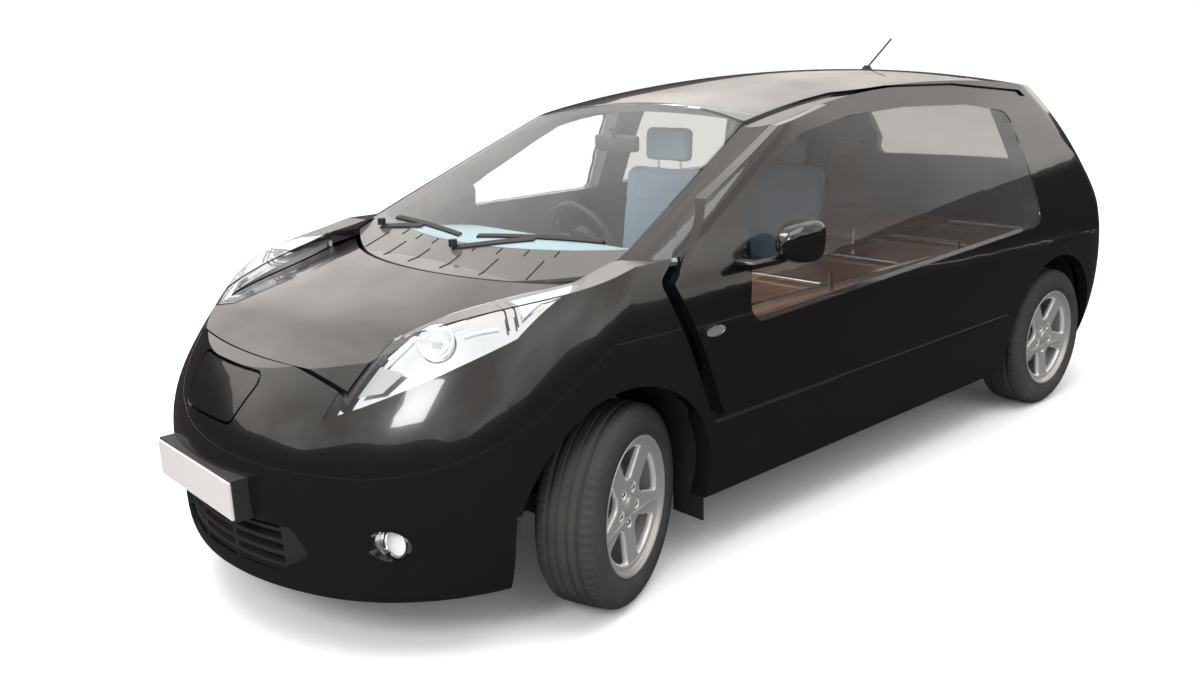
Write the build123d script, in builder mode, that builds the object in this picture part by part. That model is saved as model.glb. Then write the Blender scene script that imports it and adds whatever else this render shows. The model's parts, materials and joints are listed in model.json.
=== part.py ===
"""A hearse converted from an electric five-door hatchback, as an assembly of its real pieces.

Millimetres. +X points to the nose, +Y to the vehicle's left, +Z up. The origin is on the ground at the
middle of the overall length. The front wheels are stored turned to the left, as the car is parked.
"""
import math
import os
from collections import namedtuple

from build123d import *

# Overall sizes
OVERALL_LENGTH = 4445
WHEELBASE = 2700
FRONT_OVERHANG = 945
FRONT_TRACK = 1540
REAR_TRACK = 1535
NOSE_TIP_X = OVERALL_LENGTH / 2
FRONT_AXLE_X = NOSE_TIP_X - FRONT_OVERHANG
REAR_AXLE_X = FRONT_AXLE_X - WHEELBASE

# Wheels and steering
TYRE_DIAMETER = 632
TYRE_WIDTH = 205
RIM_DIAMETER = 406
RIM_LIP_DIAMETER = 434
RIM_WALL = 9
SPOKE_COUNT = 5
HUB_BORE_RADIUS = 32
AXLE_HEIGHT = TYRE_DIAMETER / 2
STEER_AT_REST = 22
KINGPIN_OFFSET = 50
BRAKE_DISC_RADIUS = 142

# Walls and clearances
PANEL_WALL = 45
DOOR_WALL = 62
SIDE_WALL = 68
PILLAR_DEPTH = 44
ROOF_WALL = 34
BONNET_WALL = 26
GLASS_WALL = 5
SHUT_GAP = 8
HINGE_INSET = 7
HINGE_BARREL = 4.5
HINGE_PIN = 3
HINGE_LEAF = 12
HINGE_WIDTH = 36
HINGE_PIN_REACH = 18
HINGE_PLAY = 1
SEAT_GAP = 0.3
PIN_GAP = 0.3

# Arches
ARCH_RADIUS = 388
LINER_WALL = 8
LINER_INNER_Y = 470

# Left side panel
PANEL_PROUD = 24
PANEL_CHANNEL = 30
PANEL_DEPTH = 34

# Horizontal sections of the body, from the sill to above the roof
Section = namedtuple("Section", "z half_width nose_x tail_x tail_bow tail_corner")
SECTIONS = [
    Section(130, 796, 2126, -2003, 2400, 372),
    Section(320, 852, 2190, -2165, 2400, 400),
    Section(480, 871, 2201, -2214, 2400, 410),
    Section(640, 883, 2170, -2220, 2400, 420),
    Section(780, 884, 2083, -2205, 2300, 420),
    Section(920, 866, 1965, -2163, 2100, 390),
    Section(1040, 829, 1840, -2088, 1900, 340),
    Section(1180, 768, 1690, -1996, 1750, 290),
    Section(1320, 699, 1540, -1886, 1650, 260),
    Section(1440, 631, 1410, -1768, 1600, 250),
    Section(1560, 556, 1280, -1640, 1600, 240),
]
NOSE_BOW = 1050
NOSE_CORNER = 630
LOWER_SECTION_COUNT = 8

# The windscreen is a straight raked line in side view
SCREEN_TOP = (315, 1455)
SCREEN_SLOPE = 0.46
SCREEN_BOW = 3200
SCREEN_CORNER = 150

# Crowned top surfaces: height on the centre line and fall at the reference half width
Crown = namedtuple("Crown", "x z fall")
CROWN_HALF = 700
SURFACE_HALF = 950
CREST_CROWNS = [
    Crown(2300, 650, 110),
    Crown(2040, 812, 58),
    Crown(1850, 893, -4),
    Crown(1600, 953, -20),
    Crown(1300, 1006, -8),
    Crown(900, 1066, 8),
]
BONNET_CROWNS = [
    Crown(2300, 655, 80),
    Crown(2040, 808, 55),
    Crown(1850, 886, 42),
    Crown(1600, 943, 38),
    Crown(1300, 998, 36),
    Crown(900, 1058, 30),
]
ROOF_CROWNS = [
    Crown(1500, 1085, 50),
    Crown(800, 1325, 60),
    Crown(300, 1460, 66),
    Crown(-200, 1531, 72),
    Crown(-700, 1550, 76),
    Crown(-1200, 1534, 74),
    Crown(-1700, 1476, 66),
    Crown(-2300, 1360, 60),
]
SURFACE_BASE = 60


def end_corner(end_x, sign, bow, corner, half_width):
    """Centre of a corner arc that is tangent to the bowed end and to the straight side."""
    centre_y = half_width - corner
    reach = math.sqrt((bow - corner) ** 2 - centre_y**2)
    bow_centre = end_x - sign * bow
    return bow_centre, bow_centre + sign * reach, centre_y


def arc_point(centre_x, centre_y, radius, degrees):
    angle = math.radians(degrees)
    return centre_x + radius * math.cos(angle), centre_y + radius * math.sin(angle)


def plan_outline(front_x, front_bow, front_corner, rear_x, rear_bow, rear_corner, half_width):
    """One closed horizontal outline: bowed ends, round corners and straight sides, all tangent."""
    nose_centre, front_cx, front_cy = end_corner(front_x, 1, front_bow, front_corner, half_width)
    tail_centre, rear_cx, rear_cy = end_corner(rear_x, -1, rear_bow, rear_corner, half_width)
    front_turn = math.degrees(math.atan2(front_cy, front_cx - nose_centre))
    rear_turn = 180 - math.degrees(math.atan2(rear_cy, tail_centre - rear_cx))
    left = [
        arc_point(nose_centre, 0, front_bow, front_turn),
        arc_point(front_cx, front_cy, front_corner, (front_turn + 90) / 2),
        (front_cx, half_width),
        (rear_cx, half_width),
        arc_point(rear_cx, rear_cy, rear_corner, (rear_turn + 90) / 2),
        arc_point(tail_centre, 0, rear_bow, rear_turn),
    ]
    right = [(x, -y) for x, y in left]
    ThreePointArc(left[0], left[1], left[2])
    Line(left[2], left[3])
    ThreePointArc(left[3], left[4], left[5])
    ThreePointArc(left[5], (rear_x, 0), right[5])
    ThreePointArc(right[5], right[4], right[3])
    Line(right[3], right[2])
    ThreePointArc(right[2], right[1], right[0])
    ThreePointArc(right[0], (front_x, 0), left[0])


def crown_solid(crowns, lowered=0):
    """Everything below a crowned surface."""
    with BuildPart() as below:
        for crown in crowns:
            fall = crown.fall * (SURFACE_HALF / CROWN_HALF) ** 2
            top = crown.z - lowered
            with BuildSketch(Plane.YZ.offset(crown.x)):
                with BuildLine():
                    ThreePointArc((-SURFACE_HALF, top - fall), (0, top), (SURFACE_HALF, top - fall))
                    Polyline(
                        (SURFACE_HALF, top - fall),
                        (SURFACE_HALF, SURFACE_BASE),
                        (-SURFACE_HALF, SURFACE_BASE),
                        (-SURFACE_HALF, top - fall),
                    )
                make_face()
        loft()
    return below.part


def screen_x(z):
    return SCREEN_TOP[0] + (SCREEN_TOP[1] - z) / SCREEN_SLOPE


def front_form(inset):
    """The body ahead of the doors, up to the crest of the wings, moved inwards by the inset."""
    with BuildPart() as form:
        for row in SECTIONS[:LOWER_SECTION_COUNT]:
            with BuildSketch(Plane.XY.offset(row.z)):
                with BuildLine():
                    plan_outline(
                        row.nose_x - inset,
                        NOSE_BOW - inset,
                        NOSE_CORNER - inset,
                        REAR_AXLE_X,
                        row.tail_bow,
                        row.tail_corner,
                        row.half_width - inset,
                    )
                make_face()
        loft()
        add(crown_solid(CREST_CROWNS, inset), mode=Mode.INTERSECT)
    return form.part


def cabin_form(inset, roof_inset=None):
    """The body from the windscreen to the tail, moved inwards by the inset."""
    with BuildPart() as form:
        for row in SECTIONS:
            with BuildSketch(Plane.XY.offset(row.z)):
                with BuildLine():
                    plan_outline(
                        screen_x(row.z) - inset,
                        SCREEN_BOW - inset,
                        SCREEN_CORNER - min(inset, SCREEN_CORNER - 20),
                        row.tail_x + inset,
                        row.tail_bow - inset,
                        row.tail_corner - inset,
                        row.half_width - inset,
                    )
                make_face()
        loft()
        add(crown_solid(ROOF_CROWNS, inset if roof_inset is None else roof_inset), mode=Mode.INTERSECT)
    return form.part


def prism(plane, draw, amount, gap=0, corner=0):
    """A drawn outline, grown by a gap, pushed both ways through the body."""
    with BuildPart() as block:
        with BuildSketch(plane) as sketch:
            with BuildLine():
                draw()
            make_face()
            if corner:
                fillet(sketch.vertices(), corner)
            if gap:
                offset(amount=gap, mode=Mode.REPLACE)
        extrude(amount=amount, both=True)
    return block.part


def plan_prism(draw, gap=0, corner=0, middle_z=900, reach=800):
    return prism(Plane.XY.offset(middle_z), draw, reach, gap, corner)


def side_prism(draw, side, gap=0, corner=0, middle_y=790, reach=235):
    """Side is 1 on the left and -1 on the right."""
    return prism(Plane.XZ.offset(-side * middle_y), draw, reach, gap, corner)


def end_prism(draw, middle_x, gap=0, corner=0, reach=700):
    return prism(Plane.YZ.offset(middle_x), draw, reach, gap, corner)


def block_between(x_range, y_range, z_range):
    with BuildPart() as block:
        with BuildSketch(Plane.XY.offset(z_range[0])):
            with Locations((sum(x_range) / 2, sum(y_range) / 2)):
                Rectangle(x_range[1] - x_range[0], y_range[1] - y_range[0])
        extrude(amount=z_range[1] - z_range[0])
    return block.part


def bar_along_y(x, z, radius, y_range):
    with BuildPart() as bar:
        with BuildSketch(Plane.XZ.offset(-y_range[0])):
            with Locations((x, z)):
                Circle(radius)
        extrude(amount=y_range[0] - y_range[1])
    return bar.part


def half(side):
    """All of the space on one side of the centre plane."""
    return block_between((-3000, 3000), (0, 1200) if side > 0 else (-1200, 0), (-100, 2000))


def carve(base, keep=(), cut=()):
    """A piece made from a form by keeping what lies in some blocks and cutting others away."""
    with BuildPart() as piece:
        add(base)
        for block in keep:
            add(block, clean=False, mode=Mode.INTERSECT)
        if cut:
            add(list(cut), clean=False, mode=Mode.SUBTRACT)
    return piece.part


def joined(*pieces):
    with BuildPart() as whole:
        for piece in pieces:
            add(piece)
    return whole.part


def save(part, name):
    part.label = name
    export_step(part, f"parts/{name}.step")
    SAVED.append(name)


SAVED = []
SIDES = {"left": 1, "right": -1}
os.makedirs("parts", exist_ok=True)

# Body forms, one for each depth that a wall or a pane needs
front_skin = front_form(0)
front_inner = front_form(PANEL_WALL)
cabin_skin = cabin_form(0)
cabin_glass_inner = cabin_form(GLASS_WALL)
cabin_pane_outer = cabin_form(18)
cabin_pane_inner = cabin_form(18 + GLASS_WALL)
cabin_door_inner = cabin_form(DOOR_WALL, 0)
cabin_side_inner = cabin_form(SIDE_WALL, ROOF_WALL)
cabin_post_inner = cabin_form(SIDE_WALL + PILLAR_DEPTH, 0)
cabin_room = cabin_form(SIDE_WALL + SEAT_GAP)
cabin_lining = cabin_form(SIDE_WALL + PILLAR_DEPTH + 6)
cabin_panel_outer = cabin_form(-PANEL_PROUD)
cabin_panel_inner = cabin_form(PANEL_DEPTH - PANEL_PROUD)
cabin_recess = cabin_form(PANEL_DEPTH - PANEL_PROUD + SEAT_GAP)

# Seams of the front, in plan
BUMPER_SEAM_X = 1665
BONNET_FRONT_X = 2022
BONNET_FRONT_CORNER = (1958, 500)
BONNET_WAIST = (1640, 590)
BONNET_LAMP_END = (1330, 722)
BONNET_REAR_CORNER = (1222, 708)
BONNET_REAR_X = 1425
LAMP_TIP = (2024, 470)
LAMP_BELLY = (1810, 676)
LAMP_FLANK = (1590, 786)
LAMP_TAIL_LOW = (1400, 803)
LAMP_TAIL_HIGH = (1296, 742)
WING_REAR_X = 945
WING_FOOT_Z = 420
PILLAR_FOOT_Z = 1042
BUMPER_LOW_Z = 190


def mirrored(point):
    return point[0], -point[1]


def bonnet_lines():
    front, waist, lamp_end, rear = BONNET_FRONT_CORNER, BONNET_WAIST, BONNET_LAMP_END, BONNET_REAR_CORNER
    ThreePointArc(mirrored(front), (BONNET_FRONT_X, 0), front)
    ThreePointArc(front, waist, lamp_end)
    Line(lamp_end, rear)
    ThreePointArc(rear, (BONNET_REAR_X, 0), mirrored(rear))
    Line(mirrored(rear), mirrored(lamp_end))
    ThreePointArc(mirrored(lamp_end), mirrored(waist), mirrored(front))


def lamp_lines(side):
    def at(point):
        return point[0], side * point[1]

    ThreePointArc(at(LAMP_TIP), at(LAMP_BELLY), at(LAMP_FLANK))
    Polyline(
        at(LAMP_FLANK),
        at(LAMP_TAIL_LOW),
        at(LAMP_TAIL_HIGH),
        at((BONNET_WAIST[0] - 40, BONNET_WAIST[1] - 40)),
        at((BONNET_FRONT_CORNER[0] - 5, BONNET_FRONT_CORNER[1] - 20)),
        at(LAMP_TIP),
    )


def wing_lines(side):
    points = [
        (BUMPER_SEAM_X - SEAT_GAP, 350),
        (BUMPER_SEAM_X - SEAT_GAP, 950),
        (WING_REAR_X + SEAT_GAP, 950),
        (WING_REAR_X + SEAT_GAP, 716),
        (BONNET_REAR_CORNER[0], 716),
    ]
    Polyline(*[(x, side * y) for x, y in points], close=True)


def scuttle_lines():
    rear = BONNET_REAR_CORNER
    ThreePointArc(rear, (BONNET_REAR_X, 0), mirrored(rear))
    Line(mirrored(rear), (SCREEN_BASE_CORNER[0], -SCREEN_BASE_CORNER[1]))
    ThreePointArc((SCREEN_BASE_CORNER[0], -SCREEN_BASE_CORNER[1]), (SCREEN_BASE_X, 0), SCREEN_BASE_CORNER)
    Line(SCREEN_BASE_CORNER, rear)


# Windscreen, roof and scuttle in plan
SCREEN_BASE_X = 1225
SCREEN_BASE_CORNER = (1085, 700)
SCREEN_HEAD_X = 318
SCREEN_HEAD_CORNER = (300, 540)
ROOF_REAR_X = -1556
ROOF_REAR_HALF = 512


def screen_lines():
    base, head = SCREEN_BASE_CORNER, SCREEN_HEAD_CORNER
    ThreePointArc(mirrored(base), (SCREEN_BASE_X, 0), base)
    Line(base, head)
    ThreePointArc(head, (SCREEN_HEAD_X, 0), mirrored(head))
    Line(mirrored(head), mirrored(base))


def roof_lines():
    head = SCREEN_HEAD_CORNER
    rear = (ROOF_REAR_X, ROOF_REAR_HALF)
    middle = ((head[0] + rear[0]) / 2, 556)
    ThreePointArc(mirrored(head), (SCREEN_HEAD_X, 0), head)
    ThreePointArc(head, middle, rear)
    Line(rear, mirrored(rear))
    ThreePointArc(mirrored(rear), mirrored(middle), mirrored(head))


# Outlines of the sides, as (x, z)
DOOR_FRONT_X = 930
DOOR_TOP_SET_BACK = 26
DOOR_SWING_ROOM = 22
DOOR_SILL_Z = 330
DOOR_SPLIT_X = -140


def driver_door_outline(set_back):
    """The driver's door, with its top rear corner set forward by set_back so that the door swings clear."""
    return [
        (DOOR_FRONT_X, DOOR_SILL_Z),
        (DOOR_FRONT_X, 1030),
        (262, 1396),
        (60, 1428),
        (DOOR_SPLIT_X + set_back, 1440),
        (DOOR_SPLIT_X, 1030),
        (DOOR_SPLIT_X, DOOR_SILL_Z),
    ]


REAR_DOOR_FRONT_X = DOOR_SPLIT_X - SHUT_GAP - 2


def rear_door_outline(swing_room):
    """The rear door, with its top rear corner moved back by swing_room for the opening it swings out of."""
    return [
        (REAR_DOOR_FRONT_X, DOOR_SILL_Z),
        (REAR_DOOR_FRONT_X, 1440),
        (-560, 1440),
        (-1005 - swing_room, 1404),
        (-1130, 1020),
        (-1060, 800),
        (-965, 560),
        (-905, DOOR_SILL_Z),
    ]


DRIVER_DOOR = driver_door_outline(DOOR_TOP_SET_BACK)
DRIVER_DOORWAY = driver_door_outline(0)
REAR_DOOR = rear_door_outline(0)
REAR_DOORWAY = rear_door_outline(DOOR_SWING_ROOM)
DRIVER_WINDOW = [(800, 1028), (240, 1346), (60, 1378), (-74, 1386), (-92, 1036)]
REAR_WINDOW = [(-196, 1040), (-196, 1390), (-560, 1390), (-952, 1360), (-1062, 1070)]
SIDE_PANEL = [
    (1066, 975),
    (790, 1190),
    (336, 1388),
    (40, 1442),
    (-420, 1462),
    (-900, 1452),
    (-1410, 1404),
    (-1640, 1140),
    (-1760, 790),
    (-1290, 790),
    (-1075, 690),
    (-1000, 527),
    (875, 527),
]
SIDE_WINDOW = [
    (770, 800),
    (668, 1140),
    (560, 1236),
    (250, 1356),
    (-60, 1398),
    (-420, 1410),
    (-900, 1396),
    (-1190, 1352),
    (-1190, 872),
]


def polygon(points):
    return lambda: Polyline(*points, close=True)


# Rear outlines, as (y, z)
TAILGATE_HALF = [
    (540, 660),
    (575, 760),
    (560, 980),
    (500, 1150),
    (ROOF_REAR_HALF, 1390),
    (ROOF_REAR_HALF, 1620),
]
REAR_GLASS_HALF = [(470, 1060), (420, 1150), (430, 1400), (380, 1420)]
TAIL_LAMP = [(585, 745), (760, 745), (742, 960), (640, 1150), (512, 1150), (572, 980)]
REAR_BUMPER_TOP_Z = 650
REAR_BUMPER_FRONT_X = -1640


def symmetric(points):
    return polygon(points + [(-y, z) for y, z in reversed(points)])


arch_cuts, liner_rooms = {}, {}
for axle_name, axle_x in (("front", FRONT_AXLE_X), ("rear", REAR_AXLE_X)):
    for side_name, side in SIDES.items():
        ends = sorted((side * LINER_INNER_Y, side * 1000))
        arch_cuts[axle_name, side_name] = bar_along_y(axle_x, AXLE_HEIGHT, ARCH_RADIUS, ends)
        room_ends = sorted((side * (LINER_INNER_Y - SEAT_GAP), side * 1000))
        liner_radius = ARCH_RADIUS + LINER_WALL + SEAT_GAP
        liner_rooms[axle_name, side_name] = bar_along_y(axle_x, AXLE_HEIGHT, liner_radius, room_ends)

bonnet_block = plan_prism(bonnet_lines)
bonnet_room = plan_prism(bonnet_lines, SHUT_GAP)
lamp_blocks = {name: plan_prism(lambda: lamp_lines(side)) for name, side in SIDES.items()}
lamp_rooms = {name: plan_prism(lambda: lamp_lines(side), SEAT_GAP) for name, side in SIDES.items()}
screen_block = plan_prism(screen_lines, -SEAT_GAP, middle_z=1300, reach=400)
roof_block = plan_prism(roof_lines, -SEAT_GAP, middle_z=1500, reach=250)
screen_room = plan_prism(screen_lines, middle_z=1300, reach=400)
roof_room = plan_prism(roof_lines, middle_z=1500, reach=250)

# Charge lid on the nose, as (y, z)
CHARGE_LID = [(205, 788), (150, 655)]
LID_WALL = 14
LID_REACH = 250
lid_block = end_prism(symmetric(CHARGE_LID), NOSE_TIP_X, corner=25, reach=LID_REACH)
lid_room = end_prism(symmetric(CHARGE_LID), NOSE_TIP_X, SHUT_GAP, corner=25, reach=LID_REACH)


def hinge(origin, ahead, outward, depth):
    """A hinge leaf with its barrel and pin, and the room that the swinging piece leaves for it.

    Ahead points from the axis to the fixed side, outward through the skin, and the leaf runs inwards.
    """
    plane = Plane(origin=origin, x_dir=ahead, z_dir=Vector(ahead).cross(Vector(outward)))
    with BuildPart() as leaf:
        with BuildSketch(plane):
            with Locations((-HINGE_LEAF / 2, -depth / 2)):
                Rectangle(HINGE_LEAF, depth)
            Circle(HINGE_BARREL)
        extrude(amount=HINGE_WIDTH / 2, both=True)
        with BuildSketch(plane):
            Circle(HINGE_PIN)
        extrude(amount=HINGE_WIDTH / 2 + HINGE_PIN_REACH, both=True)
    with BuildPart() as room:
        with BuildSketch(plane):
            with Locations((0, -depth / 2)):
                Rectangle(2 * (HINGE_LEAF + SHUT_GAP), depth + SHUT_GAP)
            Circle(HINGE_BARREL + HINGE_PLAY)
        extrude(amount=HINGE_WIDTH / 2 + SHUT_GAP, both=True)
        with BuildSketch(plane):
            Circle(HINGE_PIN + PIN_GAP)
        extrude(amount=HINGE_WIDTH / 2 + HINGE_PIN_REACH + SHUT_GAP / 2, both=True)
    return leaf.part, room.part


# Bonnet, with its hinges at the rear corners
BONNET_HINGE_X = 1275
BONNET_HINGE_Y = 665
BONNET_HINGE_Z = 957
BONNET_LEAF_DEPTH = 100
bonnet_leaves, bonnet_pockets = [], []
for side in SIDES.values():
    leaf, room = hinge(
        (BONNET_HINGE_X, side * BONNET_HINGE_Y, BONNET_HINGE_Z), (-1, 0, 0), (0, 0, 1), BONNET_LEAF_DEPTH
    )
    bonnet_leaves.append(leaf)
    bonnet_pockets.append(room)
bonnet_inner = carve(front_form(BONNET_WALL), [crown_solid(BONNET_CROWNS, BONNET_WALL)])
bonnet = carve(
    crown_solid(BONNET_CROWNS), [bonnet_block, front_skin],
    [bonnet_inner, lid_room, *bonnet_pockets],
)
save(bonnet, "bonnet")

# Front bumper with the nose, its intake and the fog lamp recesses
INTAKE_HALF = [(400, 398), (445, 318), (330, 250)]
intake = end_prism(symmetric(INTAKE_HALF), NOSE_TIP_X, corner=18)
FOG_Y = 652
FOG_Z = 372
FOG_RADIUS = 46
bumper_region = block_between((BUMPER_SEAM_X, 2400), (-1000, 1000), (BUMPER_LOW_Z, 1200))
fog_holes = []
for side in SIDES.values():
    with BuildPart() as fog_hole:
        with BuildSketch(Plane.YZ.offset(1700)):
            with Locations((side * FOG_Y, FOG_Z)):
                Circle(FOG_RADIUS + SEAT_GAP)
        extrude(amount=600)
    fog_holes.append(fog_hole.part)
bumper = carve(
    front_skin,
    [bumper_region],
    [front_inner, bonnet_room, lid_room, intake, *lamp_rooms.values(), *fog_holes,
     arch_cuts["front", "left"], arch_cuts["front", "right"]],
)
save(bumper, "front_bumper")

# Wings, headlamp units and lenses
panel_room_left = side_prism(polygon(SIDE_PANEL), 1, PANEL_CHANNEL)
scuttle_room = plan_prism(scuttle_lines, SEAT_GAP)
LENS_WALL = 5
LAMP_FACE = 34
LAMP_DEPTH = 90
wing_zone = block_between((0, 2400), (-1000, 1000), (WING_FOOT_Z, PILLAR_FOOT_Z - SEAT_GAP))
lamp_depth_zone = block_between((0, 2400), (-1000, 1000), (640, 1200))
lens_inner = front_form(LENS_WALL)
lamp_face = front_form(LAMP_FACE)
lamp_back = front_form(LAMP_DEPTH)
lenses, lamp_units = [], []
for name, side in SIDES.items():
    cuts = [front_inner, bonnet_room, lamp_rooms[name], arch_cuts["front", name], scuttle_room]
    if name == "left":
        cuts.append(panel_room_left)
    wing = carve(front_skin, [plan_prism(lambda: wing_lines(side)), wing_zone], cuts)
    save(wing, f"front_wing_{name}")
    lenses.append(carve(front_skin, [lamp_blocks[name], lamp_depth_zone], [lens_inner, bonnet_room]))
    lamp_cuts = [lamp_back, bonnet_room, liner_rooms["front", name]]
    lamp_units.append(carve(lamp_face, [lamp_blocks[name], lamp_depth_zone], lamp_cuts))
save(joined(*lenses), "headlamp_lenses")
save(joined(*lamp_units), "headlamp_units")

# Scuttle and windscreen
SCUTTLE_DROP = 4
SCUTTLE_WALL = 26
BONNET_REAR_GAP = 17
bonnet_swing_room = plan_prism(bonnet_lines, BONNET_REAR_GAP)
scuttle_block = plan_prism(scuttle_lines)
scuttle_floor = crown_solid(BONNET_CROWNS, SCUTTLE_DROP + SCUTTLE_WALL)
scuttle = joined(
    carve(crown_solid(BONNET_CROWNS, SCUTTLE_DROP), [scuttle_block], [scuttle_floor, bonnet_swing_room]),
    carve(cabin_skin, [scuttle_block], [cabin_pane_inner, scuttle_floor, bonnet_swing_room]),
)
save(scuttle, "scuttle_panel")
windscreen = carve(cabin_skin, [screen_block], [cabin_glass_inner])
save(windscreen, "windscreen")

# Roof
roof_shell = carve(cabin_skin, [roof_block], [cabin_form(ROOF_WALL)])

# Doors on the right, their glass and their hinges
DOOR_HINGE_Y = -(884 - HINGE_INSET)
DOOR_HINGE_HEIGHTS = (665, 815)
DOORS = {
    "driver_door": (DRIVER_DOOR, DRIVER_DOORWAY, DRIVER_WINDOW, DOOR_FRONT_X - HINGE_INSET),
    "rear_door_right": (REAR_DOOR, REAR_DOORWAY, REAR_WINDOW, REAR_DOOR_FRONT_X - HINGE_INSET),
}
right_half = half(-1)
left_half = half(1)
side_hinges = []
door_rooms = []
for door_name, (outline, doorway, window, hinge_x) in DOORS.items():
    leaves, rooms = [], []
    for height in DOOR_HINGE_HEIGHTS:
        leaf, room = hinge((hinge_x, DOOR_HINGE_Y, height), (1, 0, 0), (0, -1, 0), SIDE_WALL)
        leaves.append(leaf)
        rooms.append(room)
    side_hinges += leaves
    door_block = side_prism(polygon(outline), -1)
    window_block = side_prism(polygon(window), -1, corner=30)
    pane_block = side_prism(polygon(window), -1, -SEAT_GAP, corner=30)
    door_rooms.append(side_prism(polygon(doorway), -1, SHUT_GAP))
    door = carve(cabin_skin, [door_block], [cabin_door_inner, window_block, *rooms])
    save(door, door_name)
    glass = carve(cabin_pane_outer, [pane_block], [cabin_pane_inner])
    save(glass, f"{door_name}_glass")

# Tailgate, rear glass and rear plate
TAILGATE_WALL = 46
tailgate_zone = block_between((-2400, ROOF_REAR_X - SHUT_GAP), (-1000, 1000), (0, 1700))
tailgate_block = end_prism(symmetric(TAILGATE_HALF), -1900)
tailgate_room = carve(
    end_prism(symmetric(TAILGATE_HALF), -1900, SHUT_GAP),
    [block_between((-2400, ROOF_REAR_X), (-1000, 1000), (0, 1700))],
)
TAILGATE_HINGE_X = ROOF_REAR_X - SHUT_GAP - HINGE_INSET
TAILGATE_HINGE_Z = 1484
TAILGATE_HINGE_Y = 150
TAILGATE_LEAF_DEPTH = 90
tailgate_leaves, tailgate_pockets = [], []
for side in SIDES.values():
    leaf, room = hinge(
        (TAILGATE_HINGE_X, side * TAILGATE_HINGE_Y, TAILGATE_HINGE_Z),
        (1, 0, 0), (0, 0, 1), TAILGATE_LEAF_DEPTH,
    )
    tailgate_leaves.append(leaf)
    tailgate_pockets.append(room)
rear_glass_block = end_prism(symmetric(REAR_GLASS_HALF), -1900, corner=30, reach=320)
rear_pane_block = end_prism(symmetric(REAR_GLASS_HALF), -1900, -SEAT_GAP, corner=30, reach=320)
tailgate = carve(
    cabin_skin, [tailgate_block, tailgate_zone],
    [cabin_form(TAILGATE_WALL), rear_glass_block, *tailgate_pockets],
)
save(tailgate, "tailgate")
save(carve(cabin_skin, [rear_pane_block], [cabin_glass_inner]), "tailgate_glass")

# Tail lamps and rear bumper
tail_zone = block_between((-2400, -1560), (-1000, 1000), (0, 1700))
lamp_core = cabin_form(58)
bumper_inner = cabin_form(PANEL_WALL)
tail_rooms, tail_lamps = [], []
for side in SIDES.values():
    outline = [(side * y, z) for y, z in TAIL_LAMP]
    tail_rooms.append(carve(end_prism(polygon(outline), -1900, SEAT_GAP), [tail_zone]))
    tail_lamps.append(carve(cabin_skin, [end_prism(polygon(outline), -1900), tail_zone], [lamp_core]))
save(joined(*tail_lamps), "tail_lamps")
rear_bumper_zone = block_between(
    (-2400, REAR_BUMPER_FRONT_X), (-1000, 1000), (BUMPER_LOW_Z, REAR_BUMPER_TOP_Z)
)
rear_bumper = carve(
    cabin_skin, [rear_bumper_zone],
    [bumper_inner, tailgate_room, *tail_rooms, arch_cuts["rear", "left"], arch_cuts["rear", "right"]],
)
save(rear_bumper, "rear_bumper")

# Body sides: pillars, sills and quarters
SILL_BOTTOM_Z = 235
side_front_cut = block_between((WING_REAR_X, 3000), (-1000, 1000), (0, PILLAR_FOOT_Z))
sill_cut = block_between((-3000, 3000), (-1000, 1000), (0, SILL_BOTTOM_Z))
bumper_room = block_between(
    (-2400, REAR_BUMPER_FRONT_X + SEAT_GAP), (-1000, 1000), (0, REAR_BUMPER_TOP_Z + SEAT_GAP)
)
common_cuts = [
    cabin_side_inner, roof_room, screen_room, tailgate_room,
    *tail_rooms, bumper_room, side_front_cut, sill_cut,
    scuttle_room,
]
POST_SLABS = [(862, WING_REAR_X, 1000), (-222, -66, 1446)]
FLOOR_Z = 235
FLOOR_WALL = 27
POST_FOOT_Z = FLOOR_Z + FLOOR_WALL + SEAT_GAP
posts = [
    carve(cabin_side_inner, [right_half, block_between((low, high), (-1000, 0), (POST_FOOT_Z, top))],
          [cabin_post_inner, liner_rooms["front", "right"]])
    for low, high, top in POST_SLABS
]
right_skin = carve(
    cabin_skin, [right_half],
    [*common_cuts, *door_rooms, arch_cuts["front", "right"], arch_cuts["rear", "right"]],
)
side_right = joined(right_skin, *posts, *side_hinges)
save(side_right, "body_side_right")

panel_recess = carve(side_prism(polygon(SIDE_PANEL), 1, PANEL_CHANNEL), [], [cabin_recess])
window_opening = side_prism(polygon(SIDE_WINDOW), 1, 20)
side_left = carve(
    cabin_skin, [left_half],
    [*common_cuts, panel_recess, window_opening, arch_cuts["front", "left"], arch_cuts["rear", "left"]],
)
side_left = side_left.solids().sort_by(SortBy.VOLUME)[-1]
save(side_left, "body_side_left")
side_panel = carve(
    cabin_panel_outer, [left_half, side_prism(polygon(SIDE_PANEL), 1)],
    [cabin_panel_inner, side_prism(polygon(SIDE_WINDOW), 1, corner=60), arch_cuts["rear", "left"]],
)
save(side_panel, "left_side_panel")
side_glass = carve(
    cabin_form(-PANEL_PROUD + 2), [left_half, side_prism(polygon(SIDE_WINDOW), 1, -SEAT_GAP, corner=60)],
    [cabin_form(-PANEL_PROUD + 2 + GLASS_WALL)],
)
save(side_glass, "left_side_glass")

# Roof with the header that carries the tailgate hinges
HEADER_HALF = 450
HEADER_FRONT_X = -1480
HEADER_REAR_X = -1545
HEADER_SHELF_Z = (1380, 1405)
header = joined(
    block_between((HEADER_REAR_X, HEADER_FRONT_X), (-HEADER_HALF, HEADER_HALF), (HEADER_SHELF_Z[0], 1500)),
    block_between(
        (TAILGATE_HINGE_X - HINGE_LEAF, HEADER_FRONT_X), (-HEADER_HALF, HEADER_HALF), HEADER_SHELF_Z
    ),
)
roof = joined(roof_shell, carve(header, [cabin_pane_outer]), *tailgate_leaves)
save(roof, "roof_panel")

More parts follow.
